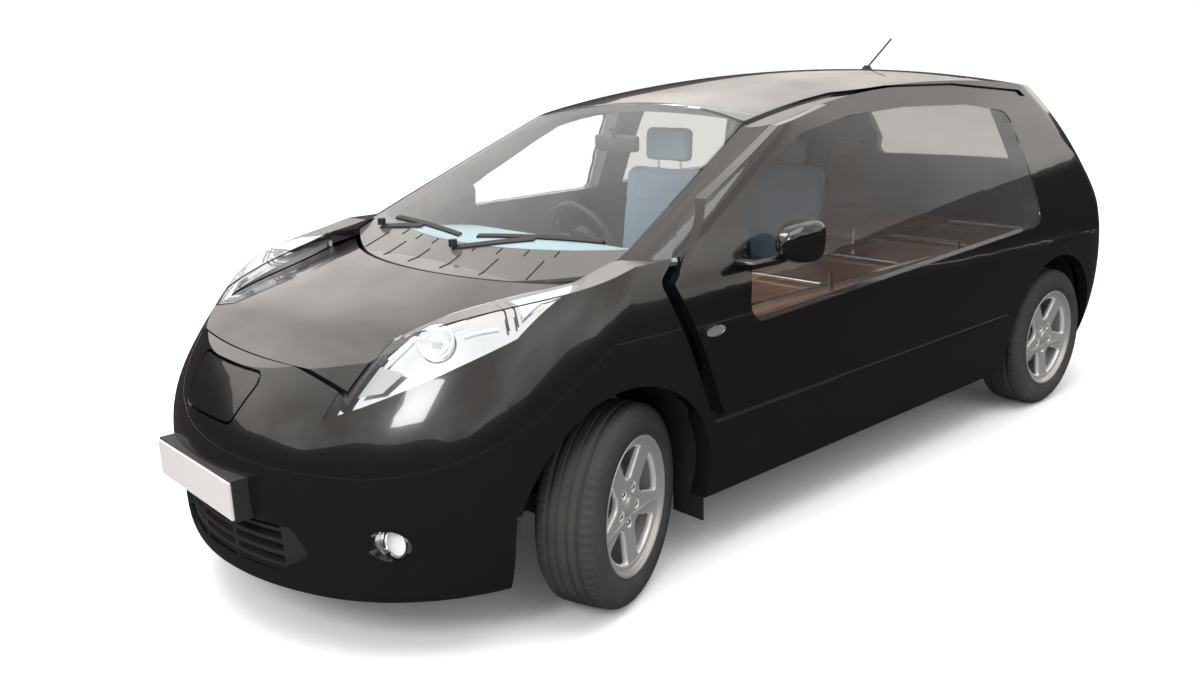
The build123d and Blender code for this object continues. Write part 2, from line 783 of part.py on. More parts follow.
# Charge lid and the port behind it
LID_HINGE_X = 2075.8
LID_HINGE_Z = 777.4
LID_SLOPE = 130
PORT_WALL = 14
PORT_FLANGE = 25
SOCKET_Y = 55
SOCKET_FLOOR = (2077, 707)
SOCKET_BORE = 30
lid_up = (math.cos(math.radians(LID_SLOPE)), 0, math.sin(math.radians(LID_SLOPE)))
lid_out = (lid_up[2], 0, -lid_up[0])
lid_leaf, lid_pocket = hinge((LID_HINGE_X, 0, LID_HINGE_Z), lid_up, lid_out, PANEL_WALL + 5)
save(carve(front_skin, [lid_block], [front_form(LID_WALL), lid_pocket]), "charge_lid")
port_face = front_form(PANEL_WALL + SEAT_GAP)
port_back = front_form(PANEL_WALL + SEAT_GAP + PORT_WALL)
port_block = end_prism(symmetric(CHARGE_LID), NOSE_TIP_X, PORT_FLANGE, corner=25, reach=LID_REACH)
with BuildPart() as charge_port:
    add(carve(port_face, [port_block], [port_back]))
    add(lid_leaf)
    for side in SIDES.values():
        floor_point = (SOCKET_FLOOR[0], side * SOCKET_Y, SOCKET_FLOOR[1])
        with BuildSketch(Plane(origin=floor_point, x_dir=(0, 1, 0), z_dir=lid_out)):
            Circle(SOCKET_BORE)
        extrude(amount=2 * PANEL_WALL, mode=Mode.SUBTRACT)
save(charge_port.part, "charge_port")

# Number plate in its holder, lower grille and fog lamps
PLATE_HALF = 260
PLATE_Z = (408, 519)
PLATE_WALL = 8
PLATE_BORDER = 6
GRILLE_INSET = 22
GRILLE_GAPS_Z = [(262, 286), (300, 324), (338, 362), (374, 388)]
GRILLE_GAPS_Y = [(-330, -120), (-100, 100), (120, 330)]
plate_back = NOSE_TIP_X - PLATE_WALL
front_grown = front_form(-SEAT_GAP)
save(block_between((plate_back, NOSE_TIP_X), (-PLATE_HALF, PLATE_HALF), PLATE_Z), "front_plate")
holder = block_between(
    (2100, plate_back - SEAT_GAP),
    (-PLATE_HALF - PLATE_BORDER, PLATE_HALF + PLATE_BORDER),
    (PLATE_Z[0] - PLATE_BORDER, PLATE_Z[1] + PLATE_BORDER),
)
save(carve(holder, [], [front_grown]), "plate_holder")
grille_face = front_form(GRILLE_INSET)
intake_block = end_prism(symmetric(INTAKE_HALF), NOSE_TIP_X, -SEAT_GAP, corner=18)
grille_gaps = [
    block_between((1500, 2400), y_range, z_range) for y_range in GRILLE_GAPS_Y for z_range in GRILLE_GAPS_Z
]
save(carve(grille_face, [intake_block], [port_back, *grille_gaps]), "lower_grille")
fog_lamps = []
for side in SIDES.values():
    with BuildPart() as fog_core:
        with BuildSketch(Plane.YZ.offset(1700)):
            with Locations((side * FOG_Y, FOG_Z)):
                Circle(FOG_RADIUS)
        extrude(amount=600)
    fog_lamps.append(carve(grille_face, [fog_core.part], [port_back]))
save(joined(*fog_lamps), "fog_lamps")

# Wipers, resting on the windscreen with their pivots on the scuttle
WIPER_LIFT = 14
BLADE_WIDTH = 16
ARM_WIDTH = 22
PIVOT_RADIUS = 15
PIVOT_HEIGHT = 24
WIPERS = [
    {"pivot": (1262, 20), "foot_z": 1027, "grip": (1146, 325), "blade": [(1186, 60), (1088, 590)]},
    {"pivot": (1190, -560), "foot_z": 1039, "grip": (1172, -300), "blade": [(1128, -545), (1196, -30)]},
]
cabin_grown = cabin_form(-SEAT_GAP)


def strip_lines(first, last, width):
    """A straight strip of a given width between two points."""
    run = Vector(*last) - Vector(*first)
    across = Vector(-run.Y, run.X).normalized() * (width / 2)
    start, end = Vector(*first), Vector(*last)
    corners = [start + across, end + across, end - across, start - across]
    return polygon([(corner.X, corner.Y) for corner in corners])


wiper_zone = block_between((1000, 1320), (-700, 700), (1000, 1200))
wiper_film = carve(cabin_form(-WIPER_LIFT), [wiper_zone], [cabin_grown])
wipers = []
for wiper in WIPERS:
    blade = carve(wiper_film, [plan_prism(strip_lines(*wiper["blade"], BLADE_WIDTH))])
    arm = carve(wiper_film, [plan_prism(strip_lines(wiper["pivot"], wiper["grip"], ARM_WIDTH))])
    with BuildPart() as pivot:
        with BuildSketch(Plane.XY.offset(wiper["foot_z"])):
            with Locations(wiper["pivot"]):
                Circle(PIVOT_RADIUS)
        extrude(amount=PIVOT_HEIGHT)
    wipers.append(joined(pivot.part, blade, arm))
save(joined(*wipers), "wipers")

# Floor with the bulkhead and the brackets of the bonnet hinges
BULKHEAD_X = (1050, 1075)
BULKHEAD_TOP_Z = 960
FLOOR_REAR_X = -2080
KICK_UP_X = (-980, -1100)
REAR_FLOOR_Z = 443
BRACKET_Z = (847, 872)
floor_top = FLOOR_Z + FLOOR_WALL
FLOOR_LINE = [
    (BULKHEAD_X[1], FLOOR_Z),
    (BULKHEAD_X[1], BULKHEAD_TOP_Z),
    (BULKHEAD_X[0], BULKHEAD_TOP_Z),
    (BULKHEAD_X[0], floor_top),
    (KICK_UP_X[0], floor_top),
    (KICK_UP_X[1], REAR_FLOOR_Z + FLOOR_WALL),
    (FLOOR_REAR_X, REAR_FLOOR_Z + FLOOR_WALL),
    (FLOOR_REAR_X, REAR_FLOOR_Z),
    (KICK_UP_X[1] - 10, REAR_FLOOR_Z),
    (KICK_UP_X[0] - 10, FLOOR_Z),
]
floor_plate = carve(prism(Plane.XZ, polygon(FLOOR_LINE), 900), [cabin_room], list(liner_rooms.values()))
brackets = [
    block_between(
        (BULKHEAD_X[1] - 5, BONNET_HINGE_X + HINGE_LEAF),
        (side * BONNET_HINGE_Y - HINGE_WIDTH / 2, side * BONNET_HINGE_Y + HINGE_WIDTH / 2),
        BRACKET_Z,
    )
    for side in SIDES.values()
]
save(joined(floor_plate, *brackets, *bonnet_leaves), "floor_pan")

# Battery pack under the floor and drive unit ahead of the bulkhead
BATTERY_X = (-820, 780)
BATTERY_HALF = 560
BATTERY_Z = (160, FLOOR_Z - SEAT_GAP)
DRIVE_X = (1120, 1700)
DRIVE_HALF = 330
DRIVE_TOP_Z = 800
CROSS_Z = (200, 250)
with BuildPart() as battery_pack:
    add(block_between(BATTERY_X, (-BATTERY_HALF, BATTERY_HALF), BATTERY_Z))
    chamfer(battery_pack.edges().filter_by(Axis.Z), 60)
save(battery_pack.part, "battery_pack")
with BuildPart() as drive_unit:
    add(block_between(DRIVE_X, (-DRIVE_HALF, DRIVE_HALF), (CROSS_Z[1] + SEAT_GAP, DRIVE_TOP_Z)))
    chamfer(drive_unit.faces().sort_by(Axis.Z)[-1].edges(), 40)
save(drive_unit.part, "drive_unit")

# Front subframe: rails, cross-members, lower arms, struts and their towers
RAIL_Y = 400
RAIL_WIDTH = 60
RAIL_Z = (430, 520)
RAIL_FRONT_X = 2008
BEAM_WIDTH = 35
BEAM_HALF = 440
CROSS_X = (1185, 1370)
ARM_Z = (190, 212)
ARM_HALF = 25
JOINT_EYE = 18
KINGPIN_Y = FRONT_TRACK / 2 - KINGPIN_OFFSET
BRACKET_ARM_Z = (446, 466)
STRUT_Y = 590
STRUT_RADIUS = 28
STRUT_TOP_Z = 850
TOWER_X = (1220, 1335)
TOWER_WALL = 14
BALL_PIN = 10
inner_rail = RAIL_Y - RAIL_WIDTH / 2
outer_rail = RAIL_Y + RAIL_WIDTH / 2
frame_blocks = [
    ((RAIL_FRONT_X - 5, RAIL_FRONT_X + BEAM_WIDTH), (-BEAM_HALF, BEAM_HALF), RAIL_Z),
    (CROSS_X, (-outer_rail, outer_rail), CROSS_Z),
]
ARM_LAP = 20
JOINT_LAP = 30
eye_x = (FRONT_AXLE_X - JOINT_EYE, FRONT_AXLE_X + JOINT_EYE)
for side in SIDES.values():
    def on_side(near, far):
        return tuple(sorted((side * near, side * far)))

    frame_blocks += [
        ((BULKHEAD_X[1] + SEAT_GAP, RAIL_FRONT_X), on_side(inner_rail, outer_rail), RAIL_Z),
        ((CROSS_X[0], CROSS_X[0] + RAIL_WIDTH), on_side(inner_rail, outer_rail), (CROSS_Z[1], RAIL_Z[0])),
        (TOWER_X, on_side(inner_rail, inner_rail + TOWER_WALL), (RAIL_Z[1], STRUT_TOP_Z)),
        (TOWER_X, on_side(inner_rail, STRUT_Y + 2 * STRUT_RADIUS), (STRUT_TOP_Z - TOWER_WALL, STRUT_TOP_Z)),
        (
            (FRONT_AXLE_X - ARM_HALF, FRONT_AXLE_X + ARM_HALF),
            on_side(outer_rail - ARM_LAP, KINGPIN_Y - JOINT_EYE),
            ARM_Z,
        ),
        (eye_x, on_side(STRUT_Y, KINGPIN_Y), BRACKET_ARM_Z),
        (eye_x, on_side(KINGPIN_Y - JOINT_LAP, KINGPIN_Y), ARM_Z),
    ]
with BuildPart() as subframe:
    for x_range, y_range, z_range in frame_blocks:
        add(block_between(x_range, y_range, z_range))
    for side in SIDES.values():
        for z_range in (ARM_Z, BRACKET_ARM_Z):
            with BuildSketch(Plane.XY.offset(z_range[0])):
                with Locations((FRONT_AXLE_X, side * KINGPIN_Y)):
                    Circle(JOINT_EYE)
            extrude(amount=z_range[1] - z_range[0])
            with BuildSketch(Plane.XY.offset(z_range[0])):
                with Locations((FRONT_AXLE_X, side * KINGPIN_Y)):
                    Circle(BALL_PIN + PIN_GAP)
            extrude(amount=z_range[1] - z_range[0], mode=Mode.SUBTRACT)
        with BuildSketch(Plane.XY.offset(BRACKET_ARM_Z[0])):
            with Locations((FRONT_AXLE_X, side * STRUT_Y)):
                Circle(STRUT_RADIUS)
        extrude(amount=STRUT_TOP_Z - BRACKET_ARM_Z[0])
save(subframe.part, "front_subframe")

# Rear axle beam with its springs and stub axles
BEAM_RADIUS = 32
BEAM_END_Y = 640
CARRIER_RADIUS = 48
CARRIER_END_Y = 728
STUB_END_Y = REAR_TRACK / 2 + 50
STUB_RADIUS = HUB_BORE_RADIUS - PIN_GAP
SPRING_Y = 420
SPRING_RADIUS = 40
TRAIL_ARM_WIDTH = 50
TRAIL_ARM_FRONT_X = -1120
with BuildPart() as rear_axle:
    add(bar_along_y(REAR_AXLE_X, AXLE_HEIGHT, BEAM_RADIUS, (-BEAM_END_Y, BEAM_END_Y)))
    for side in SIDES.values():
        carrier_y = sorted((side * BEAM_END_Y, side * CARRIER_END_Y))
        stub_y = sorted((side * CARRIER_END_Y, side * STUB_END_Y))
        add(bar_along_y(REAR_AXLE_X, AXLE_HEIGHT, CARRIER_RADIUS, carrier_y))
        add(bar_along_y(REAR_AXLE_X, AXLE_HEIGHT, STUB_RADIUS, stub_y))
        with BuildSketch(Plane.XY.offset(AXLE_HEIGHT)):
            with Locations((REAR_AXLE_X, side * SPRING_Y)):
                Circle(SPRING_RADIUS)
        extrude(amount=REAR_FLOOR_Z - SEAT_GAP - AXLE_HEIGHT)
        arm_y = sorted((side * (SPRING_Y - TRAIL_ARM_WIDTH), side * SPRING_Y))
        add(block_between((REAR_AXLE_X, TRAIL_ARM_FRONT_X), arm_y, (AXLE_HEIGHT - 30, AXLE_HEIGHT + 20)))
save(rear_axle.part, "rear_axle_beam")

# Wheel liners and mud flaps
STRUT_HOLE = 40
liners = []
for (axle_name, side_name), arch in arch_cuts.items():
    axle_x = FRONT_AXLE_X if axle_name == "front" else REAR_AXLE_X
    side = SIDES[side_name]
    ends = sorted((side * LINER_INNER_Y, side * 1000))
    well = bar_along_y(axle_x, AXLE_HEIGHT, ARCH_RADIUS + LINER_WALL, ends)
    with BuildPart() as strut_hole:
        with BuildSketch(Plane.XY.offset(600)):
            with Locations((axle_x, side * STRUT_Y)):
                Circle(STRUT_HOLE)
        extrude(amount=200)
    above_floor = block_between((-3000, 3000), (-1000, 1000), (FLOOR_Z, 1000))
    if axle_name == "front":
        behind_bumper = block_between((FRONT_AXLE_X, BUMPER_SEAM_X), (-1000, 1000), (BUMPER_LOW_Z, FLOOR_Z))
        liners.append(carve(well, [cabin_room, joined(above_floor, behind_bumper)], [arch, strut_hole.part]))
    else:
        liners.append(carve(well, [cabin_room, above_floor], [arch]))
save(joined(*liners), "wheel_liners")
FLAP_X = (893, 899)
FLAP_Y = (690, 824)
FLAP_BOTTOM_Z = 152
flaps = [
    block_between(
        FLAP_X, sorted((side * FLAP_Y[0], side * FLAP_Y[1])), (FLAP_BOTTOM_Z, SILL_BOTTOM_Z - SEAT_GAP)
    )
    for side in SIDES.values()
]
save(joined(*flaps), "mud_flaps")

# Wheels, about their own axle with the outer face up
LIP_WIDTH = 97
BEAD_WIDTH = 86
FACE_Z = (54, 82)
HUB_RADIUS = 72
DISC_Z = (-26, -2)
WINDOW_RADII = (84, 170)
WINDOW_SPREAD = 21
RIM_PROFILE = [
    (RIM_DIAMETER / 2 - SEAT_GAP, -BEAD_WIDTH - SEAT_GAP),
    (RIM_LIP_DIAMETER / 2, -BEAD_WIDTH - 5),
    (RIM_LIP_DIAMETER / 2, -LIP_WIDTH),
    (RIM_DIAMETER / 2 - RIM_WALL - 8, -LIP_WIDTH),
    (RIM_DIAMETER / 2 - RIM_WALL - 8, FACE_Z[0]),
    (HUB_RADIUS, FACE_Z[0] - 8),
    (HUB_RADIUS, DISC_Z[1]),
    (BRAKE_DISC_RADIUS, DISC_Z[1]),
    (BRAKE_DISC_RADIUS, DISC_Z[0]),
    (HUB_BORE_RADIUS, DISC_Z[0]),
    (HUB_BORE_RADIUS, FACE_Z[0]),
    (0, FACE_Z[0]),
    (0, FACE_Z[1] - 14),
    (HUB_RADIUS - 30, FACE_Z[1] - 16),
    (RIM_DIAMETER / 2 - 12, FACE_Z[1]),
    (RIM_LIP_DIAMETER / 2 - 9, LIP_WIDTH),
    (RIM_LIP_DIAMETER / 2, LIP_WIDTH),
    (RIM_LIP_DIAMETER / 2, BEAD_WIDTH + 5),
    (RIM_DIAMETER / 2 - SEAT_GAP, BEAD_WIDTH + SEAT_GAP),
]
TYRE_HALF = [
    (RIM_DIAMETER / 2, BEAD_WIDTH),
    (255, TYRE_WIDTH / 2),
    (298, 95),
    (TYRE_DIAMETER / 2, 72),
]
NUT_CIRCLE = 57
NUT_RADIUS = 9
with BuildPart() as rim:
    with BuildSketch(Plane.XZ):
        with BuildLine():
            Polyline(*RIM_PROFILE, close=True)
        make_face()
    revolve(axis=Axis.Z)
    with BuildSketch(Plane.XY.offset(FACE_Z[1] + 12)):
        with PolarLocations(0, SPOKE_COUNT):
            with BuildLine():
                near, far, spread = WINDOW_RADII[0], WINDOW_RADII[1], WINDOW_SPREAD
                corners = [arc_point(0, 0, radius, angle) for radius, angle in
                           ((near, -spread / 2), (far, -spread), (far, spread), (near, spread / 2))]
                Line(corners[0], corners[1])
                ThreePointArc(corners[1], (far, 0), corners[2])
                Line(corners[2], corners[3])
                ThreePointArc(corners[3], (near, 0), corners[0])
            make_face()
    extrude(amount=-(FACE_Z[1] + 12 - FACE_Z[0] + 12), taper=6, mode=Mode.SUBTRACT)
    with BuildSketch(Plane.XY.offset(FACE_Z[1])):
        with PolarLocations(NUT_CIRCLE, SPOKE_COUNT, start_angle=36):
            Circle(NUT_RADIUS)
    extrude(amount=-26, mode=Mode.SUBTRACT)
with BuildPart() as tyre:
    with BuildSketch(Plane.XZ):
        with BuildLine():
            Polyline(*TYRE_HALF, *[(radius, -z) for radius, z in reversed(TYRE_HALF)], close=True)
        make_face()
    revolve(axis=Axis.Z)

# Knuckles, with the wheel's axle up and the kingpin across it
UPRIGHT_RADIUS = 20
ARM_REACH = 120
ARM_INWARD = 60


def turned(steer, side):
    """The plane of a wheel: its normal points outwards and its x axis forwards."""
    angle = math.radians(steer)
    outward = (-side * math.sin(angle), side * math.cos(angle), 0)
    ahead = (math.cos(angle), math.sin(angle), 0)
    return ahead, outward


for side_name, side in SIDES.items():
    ahead, outward = turned(STEER_AT_REST, side)
    kingpin = (FRONT_AXLE_X, side * KINGPIN_Y, AXLE_HEIGHT)
    front_centre = tuple(kingpin[i] + KINGPIN_OFFSET * outward[i] for i in range(3))
    hub_plane = Plane(origin=kingpin, x_dir=ahead, z_dir=outward)
    with BuildPart() as knuckle:
        with BuildSketch(Plane.XY.offset(ARM_Z[1] + SEAT_GAP)):
            with Locations((FRONT_AXLE_X, side * KINGPIN_Y)):
                Circle(UPRIGHT_RADIUS)
        extrude(amount=BRACKET_ARM_Z[0] - ARM_Z[1] - 2 * SEAT_GAP)
        with BuildSketch(Plane.XY.offset(ARM_Z[0])):
            with Locations((FRONT_AXLE_X, side * KINGPIN_Y)):
                Circle(BALL_PIN)
        extrude(amount=BRACKET_ARM_Z[1] - ARM_Z[0])
        with BuildSketch(hub_plane):
            Circle(STUB_RADIUS)
        extrude(amount=KINGPIN_OFFSET + 50)
        with BuildSketch(hub_plane.offset(-UPRIGHT_RADIUS)):
            Circle(CARRIER_RADIUS)
        extrude(amount=UPRIGHT_RADIUS)
        with BuildSketch(hub_plane.offset(-ARM_INWARD)):
            with Locations((-ARM_REACH / 2, 0)):
                Rectangle(ARM_REACH, 36)
        extrude(amount=ARM_INWARD - 6)
    save(knuckle.part, f"knuckle_{side_name}")
    rear_ahead, rear_outward = turned(0, side)
    rear_centre = (REAR_AXLE_X, side * REAR_TRACK / 2, AXLE_HEIGHT)
    for axle_name, centre, x_dir, z_dir in (
        ("front", front_centre, ahead, outward), ("rear", rear_centre, rear_ahead, rear_outward)
    ):
        place = Plane(origin=centre, x_dir=x_dir, z_dir=z_dir).location
        save(rim.part.moved(place), f"{axle_name}_rim_{side_name}")
        save(tyre.part.moved(place), f"{axle_name}_tyre_{side_name}")

# Dashboard and steering wheel
WHEEL_CENTRE = (330, -370, 878)
COLUMN_SLOPE = 23
COLUMN_LENGTH = 420
COLUMN_RADIUS = 24
WHEEL_RADIUS = 176
GRIP_RADIUS = 13
DASH_LINE = [
    (BULKHEAD_X[0] - SEAT_GAP, 560),
    (BULKHEAD_X[0] - SEAT_GAP, BULKHEAD_TOP_Z + SEAT_GAP),
    (1090, BULKHEAD_TOP_Z + SEAT_GAP),
    (1190, 990),
    (1186, 1008),
    (900, 992),
    (700, 968),
    (640, 905),
    (660, 780),
    (760, 640),
    (900, 560),
]
column_dir = (math.cos(math.radians(COLUMN_SLOPE)), 0, -math.sin(math.radians(COLUMN_SLOPE)))
WHEEL_HUB_RADIUS = 62
WHEEL_HUB_DEPTH = 40
WHEEL_SPOKE_WIDTH = 36
WHEEL_SPOKE_DEPTH = 16
wheel_plane = Plane(origin=WHEEL_CENTRE, x_dir=(0, 1, 0), z_dir=column_dir)
with BuildPart() as column_room:
    with BuildSketch(wheel_plane):
        Circle(COLUMN_RADIUS + SEAT_GAP)
    extrude(amount=COLUMN_LENGTH + SEAT_GAP)
dashboard = carve(
    prism(Plane.XZ, polygon(DASH_LINE), 900), [cabin_lining],
    [column_room.part, scuttle_room, liner_rooms["front", "left"], liner_rooms["front", "right"]],
)
save(dashboard, "dashboard")
with BuildPart() as steering_wheel:
    with BuildSketch(wheel_plane):
        Circle(COLUMN_RADIUS)
    extrude(amount=COLUMN_LENGTH)
    with BuildSketch(wheel_plane.offset(-WHEEL_HUB_DEPTH / 2)):
        Circle(WHEEL_HUB_RADIUS)
    extrude(amount=WHEEL_HUB_DEPTH)
    with BuildSketch(wheel_plane.offset(-WHEEL_SPOKE_DEPTH / 2)):
        Rectangle(2 * WHEEL_RADIUS, WHEEL_SPOKE_WIDTH)
        with Locations((0, -WHEEL_RADIUS / 2)):
            Rectangle(WHEEL_SPOKE_WIDTH, WHEEL_RADIUS)
    extrude(amount=WHEEL_SPOKE_DEPTH)
    wheel_up = Vector(column_dir).cross(Vector(0, 1, 0))
    with BuildSketch(Plane(origin=WHEEL_CENTRE, x_dir=(0, 1, 0), z_dir=wheel_up)):
        with Locations((WHEEL_RADIUS, 0)):
            Circle(GRIP_RADIUS)
    revolve(axis=Axis(WHEEL_CENTRE, column_dir))
save(steering_wheel.part, "steering_wheel")

# Seats: a cushion and back in one profile, and a narrower headrest
SEAT_Y = -370
SEAT_FOOT_Z = floor_top + SEAT_GAP
SEATS = {
    "driver_seat": {
        "half_width": 240,
        "body": [
            (380, SEAT_FOOT_Z), (400, 560), (330, 610), (-40, 570), (-110, 640), (-160, 1130), (-240, 1140),
            (-230, 700), (-190, 420), (-120, SEAT_FOOT_Z),
        ],
        "head": [(-165, 1120), (-150, 1170), (-165, 1320), (-232, 1320), (-235, 1120)],
    },
    "rear_seat": {
        "half_width": 250,
        "body": [
            (-520, SEAT_FOOT_Z), (-500, 560), (-560, 600), (-860, 565), (-915, 620), (-985, 1090),
            (-1065, 1080), (-1040, 640), (-960, 420), (-960, SEAT_FOOT_Z),
        ],
        "head": [(-990, 1070), (-985, 1210), (-1046, 1210), (-1060, 1070)],
    },
}
HEADREST_HALF = 130
for seat_name, seat_row in SEATS.items():
    with BuildPart() as seat:
        shapes = ((seat_row["body"], seat_row["half_width"]), (seat_row["head"], HEADREST_HALF))
        for outline, half_width in shapes:
            with BuildSketch(Plane.XZ.offset(-SEAT_Y)):
                with BuildLine():
                    Polyline(*outline, close=True)
                make_face()
            extrude(amount=half_width, both=True)
    save(seat.part, seat_name)

# Coffin deck, its frame and its fittings
DECK_Z = (722, 742)
DECK_SIDES = (60, 690)
DECK_FRONT_X = 560
DECK_REAR_X = -1900
DECK_WIDE_X = -1150
DECK_PLAN = [
    (DECK_FRONT_X, DECK_SIDES[0]),
    (DECK_FRONT_X, DECK_SIDES[1]),
    (DECK_REAR_X, DECK_SIDES[1]),
    (DECK_REAR_X, -DECK_SIDES[1]),
    (DECK_WIDE_X, -DECK_SIDES[1]),
    (DECK_WIDE_X, DECK_SIDES[0]),
]
BEARER = 40
BEARERS = [
    {"y": 120, "x": (-1860, 500), "legs": [480, -300, -900, -1840]},
    {"y": 430, "x": (-1860, 500), "legs": [480, -300, -900, -1840]},
    {"y": 650, "x": (-960, 500), "legs": [480, -300, -900]},
    {"y": -430, "x": (-1860, -1180), "legs": [-1240, -1840]},
]
TIES = [(480, (120, 650)), (-300, (120, 650)), (-900, (120, 650)), (-1240, (-430, 430)), (-1840, (-430, 430))]
with BuildPart() as deck:
    with BuildSketch(Plane.XY.offset(DECK_Z[0])):
        with BuildLine():
            Polyline(*DECK_PLAN, close=True)
        make_face()
    extrude(amount=DECK_Z[1] - DECK_Z[0])
    fillet(deck.edges().filter_by(Axis.Z), 40)
save(deck.part, "coffin_deck")
bearer_top = DECK_Z[0] - SEAT_GAP
with BuildPart() as deck_frame:
    for bearer in BEARERS:
        y_range = (bearer["y"] - BEARER / 2, bearer["y"] + BEARER / 2)
        add(block_between(bearer["x"], y_range, (bearer_top - BEARER, bearer_top)))
        for leg_x in bearer["legs"]:
            foot = floor_top if leg_x > KICK_UP_X[0] else REAR_FLOOR_Z + FLOOR_WALL
            leg_range = (leg_x - BEARER / 2, leg_x + BEARER / 2)
            add(block_between(leg_range, y_range, (foot + SEAT_GAP, bearer_top)))
    for tie_x, y_range in TIES:
        tie_range = (tie_x - BEARER / 2, tie_x + BEARER / 2)
        add(block_between(tie_range, y_range, (bearer_top - BEARER, bearer_top)))
save(deck_frame.part, "deck_frame")
RAIL_YS = (150, 600)
DECK_RAIL = 24
DECK_RAIL_HEIGHT = 14
DECK_RAIL_X = (-1820, 420)
ROLLER_XS = (-1700, -1150, -600, -50)
ROLLER_RADIUS = 11
BIER_PINS = [(-20, 645), (-945, 645), (-20, 105), (-945, 105)]
BIER_PIN_RADIUS = 10
BIER_PIN_HEIGHT = 70
fitting_z = DECK_Z[1] + SEAT_GAP
with BuildPart() as fittings:
    for rail_y in RAIL_YS:
        rail_range = (rail_y - DECK_RAIL / 2, rail_y + DECK_RAIL / 2)
        add(block_between(DECK_RAIL_X, rail_range, (fitting_z, fitting_z + DECK_RAIL_HEIGHT)))
    for roller_x in ROLLER_XS:
        roller_ends = (RAIL_YS[0] + DECK_RAIL, RAIL_YS[1] - DECK_RAIL)
        add(bar_along_y(roller_x, fitting_z + ROLLER_RADIUS, ROLLER_RADIUS, roller_ends))
    with BuildSketch(Plane.XY.offset(fitting_z)):
        with Locations(*BIER_PINS):
            Circle(BIER_PIN_RADIUS)
    extrude(amount=BIER_PIN_HEIGHT)
save(fittings.part, "deck_fittings")

# Door mirrors, side repeaters and aerial
MIRROR_XS = (512, 598, 668)
MIRROR_Y = 948
MIRROR_Z = 1044
MIRROR_SIZES = ((134, 140, 42), (134, 140, 42), (96, 104, 36))
FOOT_X = (725, 790)
FOOT_Y = 780
FOOT_Z = (984, 1010)
MIRROR_ARM_X = (640, 745)
MIRROR_ARM_Y = 908
REPEATER_Z = 817
panel_grown = cabin_form(-PANEL_PROUD - SEAT_GAP)
for side_name, side, skin in (("left", 1, panel_grown), ("right", -1, cabin_grown)):
    with BuildPart() as mirror_head:
        for section_x, (width, height, corner) in zip(MIRROR_XS, MIRROR_SIZES):
            with BuildSketch(Plane.YZ.offset(section_x)):
                with Locations((side * MIRROR_Y, MIRROR_Z)):
                    RectangleRounded(width, height, corner)
        loft(ruled=True)
    foot = block_between(FOOT_X, sorted((side * FOOT_Y, side * MIRROR_Y)), FOOT_Z)
    arm = block_between(MIRROR_ARM_X, sorted((side * MIRROR_ARM_Y, side * MIRROR_Y)), FOOT_Z)
    save(joined(carve(foot, [], [skin]), arm, mirror_head.part), f"door_mirror_{side_name}")
repeaters = []
for side, repeater_x, skin in ((1, 930, panel_grown), (-1, 1010, front_grown)):
    with BuildPart() as repeater:
        with BuildSketch(Plane.XZ.offset(-side * 860)):
            with Locations((repeater_x, REPEATER_Z)):
                Ellipse(42, 17)
        extrude(amount=-side * (55 if side > 0 else 34))
    repeaters.append(carve(repeater.part, [], [skin]))
save(joined(*repeaters), "repeater_lamps")
AERIAL_SEAT = (-1170, 0, 1536.3)
ROOF_SLOPE_AT_AERIAL = 0.064
AERIAL_FOOT = (-1170, 0, 1546)
AERIAL_TIP = (-1365, 0, 1675)
AERIAL_BASE_SIZE = (42, 17)
AERIAL_BASE_HEIGHT = 20
AERIAL_RADIUS = 4
aerial_run = Vector(*AERIAL_TIP) - Vector(*AERIAL_FOOT)
aerial_plane = Plane(
    origin=AERIAL_SEAT, x_dir=(1, 0, ROOF_SLOPE_AT_AERIAL), z_dir=(-ROOF_SLOPE_AT_AERIAL, 0, 1)
)
with BuildPart() as aerial:
    with BuildSketch(aerial_plane):
        Ellipse(*AERIAL_BASE_SIZE)
    with BuildSketch(aerial_plane.offset(AERIAL_BASE_HEIGHT)):
        Ellipse(AERIAL_BASE_SIZE[0] / 2, AERIAL_BASE_SIZE[1] / 2)
    loft()
    with BuildSketch(Plane(origin=AERIAL_FOOT, x_dir=(0, 1, 0), z_dir=aerial_run)):
        Circle(AERIAL_RADIUS)
    extrude(amount=aerial_run.length)
save(aerial.part, "roof_aerial")
print(len(SAVED), "pieces")
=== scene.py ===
# %% [markdown]
# # A black electric hearse, piece by piece
# The construction is already there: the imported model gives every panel, wheel and pane at its real place.
# This lesson dresses it. Each step says what the piece is on the real car and why it is made this way.

import json
import math

import bmesh
import bpy
import numpy as np
from mathutils import Matrix, Vector
from mathutils.bvhtree import BVHTree


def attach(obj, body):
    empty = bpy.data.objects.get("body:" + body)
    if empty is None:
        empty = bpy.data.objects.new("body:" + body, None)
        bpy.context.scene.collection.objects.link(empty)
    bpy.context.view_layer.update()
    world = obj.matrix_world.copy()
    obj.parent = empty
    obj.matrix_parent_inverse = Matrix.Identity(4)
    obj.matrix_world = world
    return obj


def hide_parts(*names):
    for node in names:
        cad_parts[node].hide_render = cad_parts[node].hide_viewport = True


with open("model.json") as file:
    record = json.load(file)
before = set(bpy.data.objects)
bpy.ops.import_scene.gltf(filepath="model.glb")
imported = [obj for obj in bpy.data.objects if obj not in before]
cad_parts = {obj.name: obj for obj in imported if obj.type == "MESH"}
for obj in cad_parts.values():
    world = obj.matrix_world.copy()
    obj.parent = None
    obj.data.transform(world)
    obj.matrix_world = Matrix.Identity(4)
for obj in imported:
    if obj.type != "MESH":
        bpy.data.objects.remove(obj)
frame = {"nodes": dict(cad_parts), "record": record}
SCENE = bpy.context.scene
NODES = frame["nodes"]
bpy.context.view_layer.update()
JOINTS = {joint["name"]: joint for joint in frame["record"]["behaviour"]["joints"]}
SIDES = (("left", 1), ("right", -1))
WHEELS = [(axle, side) for axle in ("front", "rear") for side in ("left", "right")]

